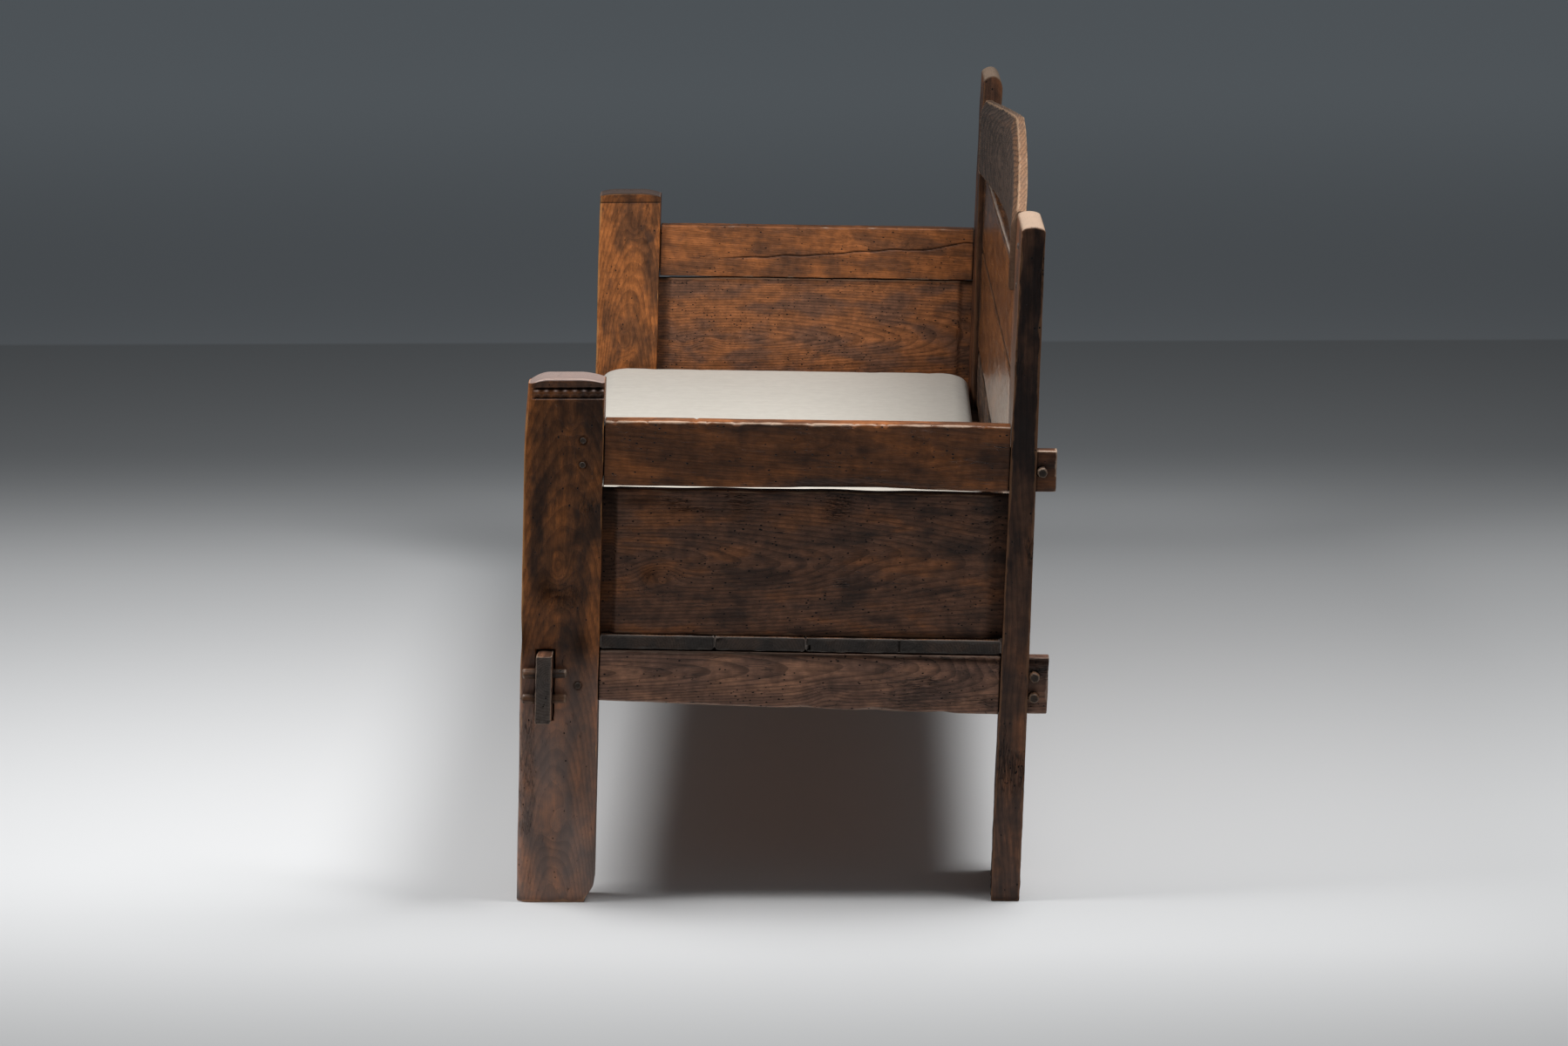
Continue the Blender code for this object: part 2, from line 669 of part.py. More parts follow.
def board_tenon(name, side, lows, highs, grow):
    """A board's tenon in one rear post, or its mortise where grow is the fit."""
    half = BOARD_TENON_THICKNESS / 2 + grow
    tip = REAR_POST_IN + BOARD_TENON_LENGTH + grow
    root = REAR_POST_IN - BOARD_TENON_LENGTH
    low = tilted(*lows, side * BOARD_END) + BOARD_TENON_SHOULDER - grow
    high = tilted(*highs, side * BOARD_END) - BOARD_TENON_SHOULDER + grow
    outline = quad(
        shifted(BOARD_MIDDLE, -half), shifted(BOARD_MIDDLE, half), board_level(low), board_level(high)
    )
    return side_solid(f"{name}_tenon_{side}", outline, *faced(side, root, tip), None, CUTTERS)


SEAT_AT_BACK = meet(BOARD_FRONT, SEAT_TOP)[1]
BOTTOM_FOOT = SEAT_AT_BACK + FIT
BOARDS = {
    "back_bottom_board": ((BOTTOM_FOOT, BOTTOM_FOOT), (BOTTOM_BOARD_TOP, BOTTOM_BOARD_TOP)),
    "back_lower_board": (
        (BOTTOM_BOARD_TOP + FIT, BOTTOM_BOARD_TOP + FIT), (LOWER_BOARD_TOP_LEFT, LOWER_BOARD_TOP_RIGHT)
    ),
    "back_middle_board": (
        (LOWER_BOARD_TOP_LEFT + FIT, LOWER_BOARD_TOP_RIGHT + FIT),
        (MIDDLE_BOARD_TOP_LEFT, MIDDLE_BOARD_TOP_RIGHT),
    ),
}


def crest_shape(x):
    """Bow, low edge and top edge of the crest at x: a shallow gable over a slightly arched low edge."""
    out = abs(x) / BOARD_END
    arch = CREST_ARCH * (1 - out ** 2)
    low = tilted(MIDDLE_BOARD_TOP_LEFT, MIDDLE_BOARD_TOP_RIGHT, x) + FIT + arch
    end = CREST_TOP_RIGHT if x > 0 else CREST_TOP_LEFT
    return CREST_BOW * (1 - out ** CREST_BOW_POWER), low, CREST_PEAK + (end - CREST_PEAK) * out


def crest():
    """The crest board: a gable with a bevelled front margin, bowed to the rear between its proud ends."""
    sections = []
    for step in range(CREST_STEPS + 1):
        x = -BOARD_END + 2 * BOARD_END * step / CREST_STEPS
        bow, low, high = crest_shape(x)
        front, back = shifted(CREST_FRONT, bow), shifted(CREST_BACK, bow)
        under, top = board_level(low), board_level(high)
        margin = meet(front, shifted(top, -CREST_MARGIN))
        eased = meet(shifted(front, CREST_MARGIN_DEPTH), top)
        ring = [meet(front, under), meet(back, under), meet(back, top), eased, margin]
        sections.append((x, ring))
    item = loft("back_crest", sections, WARM_OAK)
    for side in (1, -1):
        weld(item, crest_tenon(side, 0.0))
        bore_pegs(item, crest_peg_heads(side), (0, 1, 0), REAR_POST_FOOT_THICKNESS, DRAWBORE_DIAMETER)
    return item


def crest_tenon(side, grow):
    """The crest's long tenon in one rear post, or its mortise where grow is the fit."""
    half = CREST_TENON_THICKNESS / 2 + grow
    foot, top = crest_tenon_reach(side)
    outline = quad(
        shifted(CREST_TENON_MIDDLE, -half), shifted(CREST_TENON_MIDDLE, half),
        board_level(foot - grow), board_level(top + grow),
    )
    tip = REAR_POST_IN + CREST_TENON_LENGTH + grow
    planes = faced(side, REAR_POST_IN - BOARD_TENON_LENGTH, tip)
    return side_solid(f"back_crest_tenon_{side}", outline, *planes, None, CUTTERS)


def crest_tenon_reach(side):
    """The heights between which the crest's tenon runs in one rear post."""
    _, foot, top = crest_shape(side * BOARD_END)
    return foot + CREST_TENON_TRIM, top - CREST_TENON_TOP_TRIM


def crest_peg_heads(side):
    """Two pegs through the rear post and the crest's tenon, driven from the front."""
    foot, top = crest_tenon_reach(side)
    x = side * (REAR_POST_IN + BOARD_PEG_INSET)
    levels = [(foot + top) / 2 + share * BOARD_PEG_PITCH for share in (-0.5, 0.5)]
    return [Vector((x, REAR_FRONT[0] + REAR_FRONT[1] * z - PEG_PROUD, z)) for z in levels]


def rear_seat_rail():
    """The rear rail under the seat, with a stub tenon in each rear post."""
    front = shifted(REAR_MIDDLE, -REAR_RAIL_THICKNESS / 2)
    back = shifted(REAR_MIDDLE, REAR_RAIL_THICKNESS / 2)
    top = shifted(SEAT_LOW, -FIT)
    low = shifted(top, -REAR_RAIL_DEPTH)
    rail = side_solid("rear_seat_rail", quad(front, back, low, top), -BOARD_END, BOARD_END, DARK_OAK)
    soften(rail, RAIL_EDGE)
    weld(rail, rear_rail_stub(0.0))
    return rail


def rear_rail_stub(grow):
    """One bar through both ends of the rear rail: its stub tenons, or their mortises."""
    half = REAR_RAIL_STUB_THICKNESS / 2 + grow
    top = shifted(SEAT_LOW, -FIT - BOARD_TENON_SHOULDER + grow)
    low = shifted(SEAT_LOW, -FIT - REAR_RAIL_DEPTH + BOARD_TENON_SHOULDER - grow)
    tip = REAR_POST_IN + REAR_RAIL_STUB + grow
    outline = quad(shifted(REAR_MIDDLE, -half), shifted(REAR_MIDDLE, half), low, top)
    return side_solid("rear_seat_rail_stubs", outline, -tip, tip, None, CUTTERS)


# Seat planks, from the front edge to the back boards
SEAT_FRONT = shifted(RAIL_FRONT, -SEAT_OVERHANG)
JOINT_ONE = shifted(FRONT_BACK, FRONT_PLANK_WIDTH)
JOINT_TWO = shifted(JOINT_ONE, MIDDLE_PLANK_WIDTH)
SEAT_BACK = BOARD_BACK
SEAT_END = POST_END - SEAT_END_SETBACK
PLANKS = {
    "seat_plank_front": (SEAT_FRONT, shifted(JOINT_ONE, -FIT / 2)),
    "seat_plank_middle": (shifted(JOINT_ONE, FIT / 2), shifted(JOINT_TWO, -FIT / 2)),
    "seat_plank_rear": (shifted(JOINT_TWO, FIT / 2), SEAT_BACK),
}


def seat_plank(name, front, rear):
    """A long plank that shows its end grain between the lower rail and the end panel."""
    plank = side_solid(name, quad(front, rear, SEAT_LOW, SEAT_TOP), -SEAT_END, SEAT_END, WARM_OAK)
    soften(plank, FIT * 4)
    return plank


def notch(plank, front, rear, x_low, x_high):
    """Cuts a plank's corners round a post."""
    above, below = shifted(SEAT_TOP, SEAT_THICKNESS), shifted(SEAT_LOW, -SEAT_THICKNESS)
    for side in (1, -1):
        tool = side_solid(
            f"{plank.name}_notch_{side}", quad(front, rear, below, above),
            *faced(side, x_low, x_high), None, CUTTERS,
        )
        cut(plank, tool)


def seat_peg_heads(side):
    """Two pegs near the edges of each plank, into the lower side rail."""
    x = side * (RAIL_OUT - LOWER_RAIL_THICKNESS / 2)
    edges = [FRONT_BACK, JOINT_ONE, JOINT_TWO, REAR_FRONT]
    heads = []
    for front, rear in zip(edges, edges[1:]):
        for line in (shifted(front, SEAT_PEG_EDGE), shifted(rear, -SEAT_PEG_EDGE)):
            y, z = meet(line, SEAT_TOP)
            heads.append(Vector((x, y, z - FIT)))
    return heads


def cushion():
    """The loose cushion between the front posts: a flat pad with rounded corners."""
    front = meet(shifted(FRONT_FACE, CUSHION_FRONT_INSET), SEAT_TOP)
    back = meet(shifted(REAR_FRONT, -CUSHION_BACK_GAP), shifted(SEAT_TOP, CUSHION_THICKNESS))
    half_length = FRONT_POST_IN - CUSHION_END_GAP
    half_depth = (back[0] - front[0]) / 2 / math.cos(RAIL_SLOPE)
    outline = []
    for quarter, (sign_x, sign_y) in enumerate(((1, 1), (-1, 1), (-1, -1), (1, -1))):
        for step in range(CORNER_STEPS + 1):
            turn = math.pi / 2 * (quarter + step / CORNER_STEPS)
            outline.append((
                sign_x * (half_length - CUSHION_CORNER) + CUSHION_CORNER * math.cos(turn),
                sign_y * (half_depth - CUSHION_CORNER) + CUSHION_CORNER * math.sin(turn),
            ))
    middle_y = (front[0] + back[0]) / 2
    middle_z = SEAT_TOP[0] + DROP * middle_y + (FIT + CUSHION_THICKNESS / 2) / math.cos(RAIL_SLOPE)
    place = Matrix.Translation((0, middle_y, middle_z)) @ Matrix.Rotation(-RAIL_SLOPE, 4, "X")
    pad = drawn_solid("seat_cushion", outline, CUSHION_THICKNESS, place, LINEN)
    soften(pad, CUSHION_THICKNESS / 8)
    return pad


def build_end(side, word, height, dome):
    """One end frame with its pegs."""
    front_post(side, f"front_post_{word}")
    post = rear_post(side, f"rear_post_{word}", height, dome)
    for name, (lows, highs) in BOARDS.items():
        cut(post, board_tenon(f"{post.name}_{name}", side, lows, highs, FIT))
    cut(post, crest_tenon(side, FIT))
    cut(post, rear_rail_stub(FIT))
    bore_pegs(post, crest_peg_heads(side), (0, 1, 0), REAR_POST_FOOT_THICKNESS, DRAWBORE_DIAMETER)

    arm = side_rail(
        side, f"arm_rail_{word}", ARM_RAIL_THICKNESS, (ARM_LOW, ARM_TOP), ARM_THROUGH, ARM_STUB, DARK_OAK
    )
    lower = side_rail(
        side, f"lower_side_rail_{word}", LOWER_RAIL_THICKNESS, (LOWER_LOW, LOWER_TOP),
        LOWER_THROUGH, LOWER_STUB, BROWN_OAK,
    )
    key_holes(arm, side, ARM_KEYS, False, REAR_KEY_PEG_LENGTH)
    key_holes(lower, side, LOWER_KEYS, False, REAR_KEY_PEG_LENGTH)
    inward = (-side, 0, 0)
    for rail, places in ((arm, ARM_PEGS), (lower, LOWER_PEGS)):
        heads = drawbore_heads(side, places)
        bore_pegs(rail, heads, inward, PEG_HOLE_LENGTH, DRAWBORE_DIAMETER)
        kind = "arm" if rail is arm else "lower_rail"
        straight_pegs(f"{kind}_drawbore_peg_{word}", heads, inward, PEG_HOLE_LENGTH, DRAWBORE_DIAMETER)
    bore_pegs(lower, seat_peg_heads(side), (0, 0, -1), SEAT_PEG_LENGTH, SEAT_PEG_DIAMETER)
    end_panel(side, f"end_panel_{word}")

    key_peg(f"arm_key_peg_{word}", side, ARM_KEYS[0], False, REAR_KEY_PEG_LENGTH)
    for level, place in zip(("bottom", "top"), LOWER_KEYS):
        key_peg(f"rear_key_peg_{level}_{word}", side, place, False, REAR_KEY_PEG_LENGTH)
    for level, place in zip(("bottom", "top"), FRONT_KEYS):
        key_peg(f"front_key_peg_{level}_{word}", side, place, True, FRONT_KEY_PEG_LENGTH)
    straight_pegs(
        f"crest_peg_{word}", crest_peg_heads(side), (0, 1, 0),
        REAR_POST_TOP_THICKNESS + PEG_PROUD, DRAWBORE_DIAMETER,
    )
    straight_pegs(f"seat_peg_{word}", seat_peg_heads(side), (0, 0, -1), SEAT_PEG_LENGTH, SEAT_PEG_DIAMETER)


def build_bench():
    """The whole bench."""
    build_end(1, "right", REAR_POST_HEIGHT_RIGHT, REAR_POST_DOME_RIGHT)
    build_end(-1, "left", REAR_POST_HEIGHT_LEFT, REAR_POST_DOME_LEFT)
    front_seat_rail()
    rear_seat_rail()
    clear_of_posts = 2 * FIT
    for name, (front, rear) in PLANKS.items():
        plank = seat_plank(name, front, rear)
        for side in (1, -1):
            bore_pegs(plank, seat_peg_heads(side), (0, 0, -1), SEAT_PEG_LENGTH, SEAT_PEG_DIAMETER)
    far = POST_END + SEAT_THICKNESS
    front_plank = bpy.data.objects["seat_plank_front"]
    notch(
        front_plank, shifted(SEAT_FRONT, -SEAT_OVERHANG), shifted(FRONT_BACK, clear_of_posts),
        FRONT_POST_IN - clear_of_posts, far,
    )
    rear_plank = bpy.data.objects["seat_plank_rear"]
    notch(
        rear_plank, shifted(REAR_FRONT, -clear_of_posts), shifted(SEAT_BACK, SEAT_OVERHANG),
        REAR_POST_IN - clear_of_posts, far,
    )
    for name, (lows, highs) in BOARDS.items():
        board(name, lows, highs, ROUGH_OAK if name == "back_bottom_board" else WARM_OAK)
    crest()
    cushion()


build_bench()
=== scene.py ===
"""Looks of the rustic oak three-seater bench: worn, carved and pegged old oak with a loose linen cushion.

Each wooden piece is a closed skin worked out in its own frame (a along the grain, b across the board, c
through its thickness, in metres), then set in the bench. +X is the bench's length, -Y its front, +Z up.
"""

import math
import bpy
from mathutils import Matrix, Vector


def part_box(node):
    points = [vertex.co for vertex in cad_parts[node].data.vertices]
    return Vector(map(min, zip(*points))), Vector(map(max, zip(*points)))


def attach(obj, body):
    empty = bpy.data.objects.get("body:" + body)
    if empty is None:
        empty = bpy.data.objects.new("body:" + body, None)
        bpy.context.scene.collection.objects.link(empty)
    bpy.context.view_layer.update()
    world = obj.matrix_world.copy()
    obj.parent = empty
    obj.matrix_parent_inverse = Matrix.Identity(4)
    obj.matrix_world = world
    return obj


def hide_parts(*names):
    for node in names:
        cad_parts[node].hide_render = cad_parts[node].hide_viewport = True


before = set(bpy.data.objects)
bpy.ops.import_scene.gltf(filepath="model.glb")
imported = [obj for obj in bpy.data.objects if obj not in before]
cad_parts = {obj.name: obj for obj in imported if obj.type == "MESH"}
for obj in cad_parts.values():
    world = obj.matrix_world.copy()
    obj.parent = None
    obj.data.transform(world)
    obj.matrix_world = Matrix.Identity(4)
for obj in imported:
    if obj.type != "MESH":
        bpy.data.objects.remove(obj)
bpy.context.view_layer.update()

from types import SimpleNamespace

import bpy
import numpy as np
from mathutils import Matrix, Vector

# Studio
# The camera stands far off the bench's right end, a little above the crest, with a long lens. Two soft boxes
# hang over the near end, one before the bench and one behind it. The floor's colour holds painted shade: pale
# by the bench, darker behind the far end and towards the camera, where the lamps' light falls off; the grey
# backdrop beyond the far end is painted lighter with distance.
CAMERA_PLACE = Vector((6.6582, 0.0895, 1.7196))
CAMERA_YAW = -0.01529
CAMERA_PITCH = 0.20721
CAMERA_ROLL = -0.00595
CAMERA_LENS = 104.06
CAMERA_SENSOR = 36.0
WORLD_COLOUR = (0.93, 1.0, 1.06)
WORLD_LEVEL = 0.09
# Floor colours: the floor darkens behind the far end and near the camera as painted shade where the lamps'
# light falls off; the backdrop's colour grades lighter with distance as painted light.
FLOOR_NEAR = (0.76, 0.765, 0.77)
FLOOR_FALLOFF_SHADE = (0.355, 0.365, 0.375)
FLOOR_CAMERA_SIDE_SHADE = (0.456, 0.459, 0.462)
BACKDROP_NEAR = (0.46, 0.485, 0.51)
BACKDROP_FAR = (0.86, 0.92, 0.96)
FALLOFF_SHADE_FROM, FALLOFF_SHADE_TO = -1.0, -2.3
CAMERA_SIDE_SHADE_FROM, CAMERA_SIDE_SHADE_TO = 0.7, 1.7
BACKDROP_AT, BACKDROP_TO = -3.50, -9.0
BACKDROP_SEAM = 0.04
FLOOR_RADIUS = 40.0
FLOOR_SPOKES, FLOOR_RINGS = 96, 40
LAMP_SIZE = 0.9
SOFT_LIGHTS = {
    "front_light": ((0.8, -1.2, 2.3), (0.7, -0.9, 0.0), 40.0),
    "rear_light": ((0.8, 0.8, 2.3), (0.7, 0.6, 0.0), 42.0),
}


def set_camera():
    """Looks along the end of the bench: yaw and pitch give the view line, roll turns about it."""
    level = math.cos(CAMERA_PITCH)
    ahead = Vector((
        -level * math.cos(CAMERA_YAW), level * math.sin(CAMERA_YAW), -math.sin(CAMERA_PITCH)
    ))
    flat_right = Vector((math.sin(CAMERA_YAW), math.cos(CAMERA_YAW), 0.0))
    flat_up = flat_right.cross(ahead)
    right = math.cos(CAMERA_ROLL) * flat_right + math.sin(CAMERA_ROLL) * flat_up
    up = math.cos(CAMERA_ROLL) * flat_up - math.sin(CAMERA_ROLL) * flat_right
    camera = bpy.data.objects.new("camera", bpy.data.cameras.new("camera"))
    camera.data.lens = CAMERA_LENS
    camera.data.sensor_width = CAMERA_SENSOR
    turn = Matrix((right, up, -ahead)).transposed()
    camera.matrix_world = Matrix.Translation(CAMERA_PLACE) @ turn.to_4x4()
    bpy.context.scene.collection.objects.link(camera)
    bpy.context.scene.camera = camera


def add_node(tree, kind, settings=None, **sockets):
    """A shader node with its settings, and each named socket set to a value or joined to another socket."""
    made = tree.nodes.new("ShaderNode" + kind)
    for key, value in (settings or {}).items():
        setattr(made, key, value)
    for key, value in sockets.items():
        fill_socket(tree, made.inputs[key.replace("_", " ")], value)
    return made


def fill_socket(tree, socket, value):
    """Joins another node's output to a socket, or sets the socket's own value."""
    if isinstance(value, bpy.types.NodeSocket):
        tree.links.new(value, socket)
    else:
        socket.default_value = value


def new_finish(name):
    """A material with only a Principled shader and its output."""
    finish = bpy.data.materials.new(name)
    finish.use_nodes = True
    return finish, finish.node_tree, finish.node_tree.nodes["Principled BSDF"]


def maths(tree, operation, *values):
    """One sum, product or other operation on numbers."""
    made = add_node(tree, "Math", {"operation": operation})
    for socket, value in zip(made.inputs, values):
        fill_socket(tree, socket, value)
    return made.outputs[0]


def faded(tree, value, start, end):
    """0 where the value is at start, 1 where it is at end, with a smooth ramp between."""
    made = add_node(
        tree, "MapRange", {"interpolation_type": "SMOOTHSTEP"}, Value=value, From_Min=start, From_Max=end
    )
    return made.outputs[0]


def mixed(tree, share, first, second, way="MIX"):
    """The first colour with a share of the second laid over it."""
    made = add_node(tree, "Mix", {"data_type": "RGBA", "blend_type": way})
    for index, value in ((0, share), (6, first), (7, second)):
        plain = isinstance(value, (float, bpy.types.NodeSocket))
        fill_socket(tree, made.inputs[index], value if plain else (*value, 1.0))
    return made.outputs[2]


def set_world():
    """An even, pale surrounding light."""
    world = bpy.data.worlds.new("studio")
    world.use_nodes = True
    back = world.node_tree.nodes["Background"]
    back.inputs["Color"].default_value = (*WORLD_COLOUR, 1.0)
    back.inputs["Strength"].default_value = WORLD_LEVEL
    bpy.context.scene.world = world


def hang_light(name, place, target, watts):
    """A large soft square light that the camera doesn't see."""
    lamp = bpy.data.lights.new(name, "AREA")
    lamp.shape = "RECTANGLE"
    lamp.size = LAMP_SIZE
    lamp.size_y = LAMP_SIZE
    lamp.energy = watts
    light = bpy.data.objects.new(name, lamp)
    facing = (Vector(target) - Vector(place)).to_track_quat("-Z", "Y")
    light.matrix_world = Matrix.Translation(place) @ facing.to_matrix().to_4x4()
    light.visible_camera = False
    bpy.context.scene.collection.objects.link(light)


def floor_finish():
    """Pale paper by the bench, darkened behind its far end and towards the camera as painted shade where the
    lamps' light falls off, then the backdrop's grey, painted lighter with distance.
    """
    finish, tree, shader = new_finish("floor")
    where = add_node(tree, "TexCoord").outputs["Object"]
    along = add_node(tree, "SeparateXYZ", Vector=where).outputs["X"]
    specks = add_node(tree, "TexNoise", Vector=where, Scale=3.0, Detail=4.0).outputs["Fac"]
    # Painted shade: the floor darkens behind the far end and towards the camera.
    ground = mixed(tree, faded(tree, along, FALLOFF_SHADE_FROM, FALLOFF_SHADE_TO), FLOOR_NEAR, FLOOR_FALLOFF_SHADE)
    ground = mixed(tree, faded(tree, along, CAMERA_SIDE_SHADE_FROM, CAMERA_SIDE_SHADE_TO), ground, FLOOR_CAMERA_SIDE_SHADE)
    backdrop = mixed(tree, faded(tree, along, BACKDROP_AT, BACKDROP_TO), BACKDROP_NEAR, BACKDROP_FAR)
    seam = faded(tree, along, BACKDROP_AT, BACKDROP_AT - BACKDROP_SEAM)
    fill_socket(tree, shader.inputs["Base Color"], mixed(tree, seam, ground, backdrop))
    fill_socket(tree, shader.inputs["Roughness"], maths(tree, "MULTIPLY_ADD", specks, 0.1, 0.75))
    shader.inputs["Specular IOR Level"].default_value = 0.1
    return finish


def lay_floor():
    """A round floor, x = r cos t and y = r sin t on a grid of t and r, with r growing as a square."""
    turn, reach = np.meshgrid(
        np.linspace(0, 2 * np.pi, FLOOR_SPOKES + 1)[:-1],
        np.linspace(0.02, 1, FLOOR_RINGS) ** 2 * FLOOR_RADIUS,
    )
    points = np.stack([reach * np.cos(turn), reach * np.sin(turn), 0 * turn], axis=-1).reshape(-1, 3)
    index = np.arange(points.shape[0]).reshape(turn.shape)
    beyond = np.roll(index, -1, axis=1)
    faces = np.stack([index[:-1], index[1:], beyond[1:], beyond[:-1]], axis=-1).reshape(-1, 4)
    mesh = bpy.data.meshes.new("floor")
    mesh.from_pydata(points.tolist(), [], [*faces.tolist(), index[0].tolist()])
    mesh.materials.append(floor_finish())
    floor = bpy.data.objects.new("floor", mesh)
    bpy.context.scene.collection.objects.link(floor)


set_camera()
set_world()
for light_name, light_facts in SOFT_LIGHTS.items():
    hang_light(light_name, *light_facts)
lay_floor()
bpy.context.scene.view_settings.view_transform = "Standard"

# Front posts
# Two oak planks set on edge, leaning back a little: domed and worn at the top, chip-carved with a scalloped
# band on the outer face, mortised for the rails, rotted and worm-eaten along the foot.
LEAN = math.radians(2.1)
RAKE = math.tan(LEAN)
POST_FOOT, POST_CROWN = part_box("front_post_right")
FRONT_Y = POST_FOOT.y
POST_HEIGHT = POST_CROWN.z
POST_SPAN = 0.103 / math.cos(LEAN)
POST_IN, POST_OUT = POST_FOOT.x, POST_CROWN.x
CROWN_REACH, CROWN_REACH_EASE = 0.030, 0.026
CROWN_FALL, CROWN_BACK = 0.0070, 0.035
CROWN_DOME = 0.005
CROWN_EASE = 0.016
FOOT_CHIP, FOOT_CHIP_HEIGHT = 0.012, 0.026
ARC_STEPS = 4
TENON_B = (0.0222, 0.0438)
TENON_Z = (0.2500, 0.3415)
MORTISE_HALF = (0.0478, 0.0125)
OUTER_PEGS = ((0.5886, 0.0763), (0.6206, 0.0763), (0.2948, 0.0762))
INNER_PEGS = ((0.5856, 0.080), (0.6198, 0.080))
UPPER_GROOVE, UPPER_HALF, UPPER_DEPTH = 0.6885, 0.0016, 0.0038
LOWER_GROOVE, LOWER_HALF, LOWER_DEPTH = 0.6762, 0.0009, 0.0024
LIP_DEPTH = 0.0012
BAND_DEPTH = 0.0008
SCALLOP_PITCH = 0.0122
SCALLOP_DEPTH, SCALLOP_HALF = 0.0019, 0.0034
SCALLOP_ROWS = ((0.5, 0.6868), (0.0, 0.6784))
SCALLOP_SHARE = 0.42
CUSP_GLINT_LEVEL, CUSP_GLINT_HALF = 0.6858, (0.0024, 0.0012)
SCRIBED_LINE = 0.6865
LIP_SPAN = ((0.6735, 0.6755), (0.6775, 0.6757))
BAND_SPAN = ((0.6765, 0.6775), (0.6880, 0.6870))
MOULDING_SPAN = ((0.7010, 0.7000), (0.6895, 0.6905))
HOLLOW_SPAN = ((0.6890, 0.6900), (0.6990, 0.6975))
EATEN_SPAN = ((0.27, 0.24), (0.08, 0.11))
POST_PACES = (
    (0.0, 0.0022), (0.24, 0.0022), (0.247, 0.0011), (0.253, 0.0024), (0.338, 0.0011), (0.346, 0.0026),
    (0.665, 0.00075), (POST_HEIGHT, 0),
)
POST_KNOT = (0.415, 0.055)
BLACK_EDGE = (0.355, 0.0, 0.024, 0.010)
POST_STAINS = ((0.425, 0.030, 0.022, 0.014), (0.350, 0.080, 0.020, 0.012))
POST_SPLIT = (0.535, 0.083, 0.012, 0.010)
FACING = 0.3


def noise_at(points, size, seed, along=1.0):
    """Smooth random field from 0 to 1: each corner of a lattice of that size, longer along the grain, holds a
    random number, and a point takes the eased mix of its cell's eight corners."""
    table = np.random.default_rng(seed).random(4096)
    scaled = points / (size * np.array((along, 1.0, 1.0)))
    cell = np.floor(scaled).astype(np.int64)
    part = scaled - cell
    part = part * part * (3 - 2 * part)
    total = np.zeros(points.shape[0])
    for corner in np.ndindex(2, 2, 2):
        near = cell + np.array(corner)
        key = near[:, 0] * 73856093 ^ near[:, 1] * 19349663 ^ near[:, 2] * 83492791
        total += table[key % 4096] * np.prod(np.where(corner, part, 1 - part), axis=1)
    return total


def wander(a, size, seed):
    """The same field along one line, from 0 to 1."""
    return noise_at(np.stack([a, 0 * a, 0 * a], axis=-1), size, seed)


def ramp(value, start, end):
    """0 at start, 1 at end, eased between by 3t^2 - 2t^3."""
    share = np.clip((value - start) / (end - start), 0, 1)
    return share * share * (3 - 2 * share)


def between(value, rise, fall):
    """1 between two ramps, each given as the places where it is 0 and 1."""
    return ramp(value, *rise) * ramp(value, *fall)


def ridge(value, middle, half, power=2):
    """1 at the middle, falling off on both sides as exp(-|distance / half|^power)."""
    return np.exp(-((value - middle) / half) ** power)


def spot(skin, a, b, half_a, half_b, power=2):
    """1 at a place on the face, falling off both ways as a ridge does."""
    return ridge(skin.a, a, half_a, power) * ridge(skin.b, b, half_b, power)


def off_rectangle(skin, a, b, half_a, half_b):
    """Distance outside a rectangle of the face, negative inside it."""
    return np.maximum(np.abs(skin.a - a) - half_a, np.abs(skin.b - b) - half_b)


def ring_mark(skin, a, b, radius, half):
    """1 on a ring about a point of the show face."""
    return ridge(np.hypot(skin.a - a, skin.b - b), radius, half) * skin.show


def paces(*knots):
    """Stations along a piece from (place, step from there on) pairs; the last pair closes the run."""
    runs = []
    for (start, step), (end, _) in zip(knots, knots[1:]):
        runs.append(np.linspace(start, end, max(1, round((end - start) / step)) + 1)[:-1])
    return np.append(np.concatenate(runs), knots[-1][0])


def quads_of(index):
    """The four-cornered faces of a grid of point numbers."""
    return np.stack([index[:-1, :-1], index[1:, :-1], index[1:, 1:], index[:-1, 1:]], axis=-1).reshape(-1, 4)


def normals_of(points, faces):
    """At each point the sum of its faces' normals, half the cross product of their diagonals, made unit."""
    corner = points[faces]
    across = np.cross(corner[:, 2] - corner[:, 0], corner[:, 3] - corner[:, 1])
    shares = np.repeat(across, 4, axis=0)
    flat = faces.ravel()
    total = np.stack([np.bincount(flat, shares[:, k], len(points)) for k in range(3)], axis=-1)
    return total / np.maximum(np.linalg.norm(total, axis=1, keepdims=True), 1e-12)


def volume_of(points, faces):
    """Signed volume inside a closed skin: a sixth of the sum of its triangles' triple products."""
    corner = points[faces]
    triples = np.einsum("ij,ij->i", corner[:, 0], np.cross(corner[:, 1], corner[:, 2]))
    triples += np.einsum("ij,ij->i", corner[:, 0], np.cross(corner[:, 2], corner[:, 3]))
    return triples.sum() / 6


def end_grid(ring, across, through):
    """Points that close an end: between the ring's low and high sides plus between its two edges, less the
    straight blend of the four corners."""
    low = ring[:across + 1]
    edge = ring[across:across + through + 1]
    high = ring[across + through:2 * across + through + 1][::-1]
    near = np.concatenate([ring[2 * across + through:], ring[:1]])[::-1]
    u = np.linspace(0, 1, across + 1)[:, None, None]
    v = np.linspace(0, 1, through + 1)[None, :, None]
    sides = (1 - v) * low[:, None] + v * high[:, None] + (1 - u) * near[None] + u * edge[None]
    corners = (1 - v) * ((1 - u) * low[0] + u * low[-1]) + v * ((1 - u) * high[0] + u * high[-1])
    return sides - corners


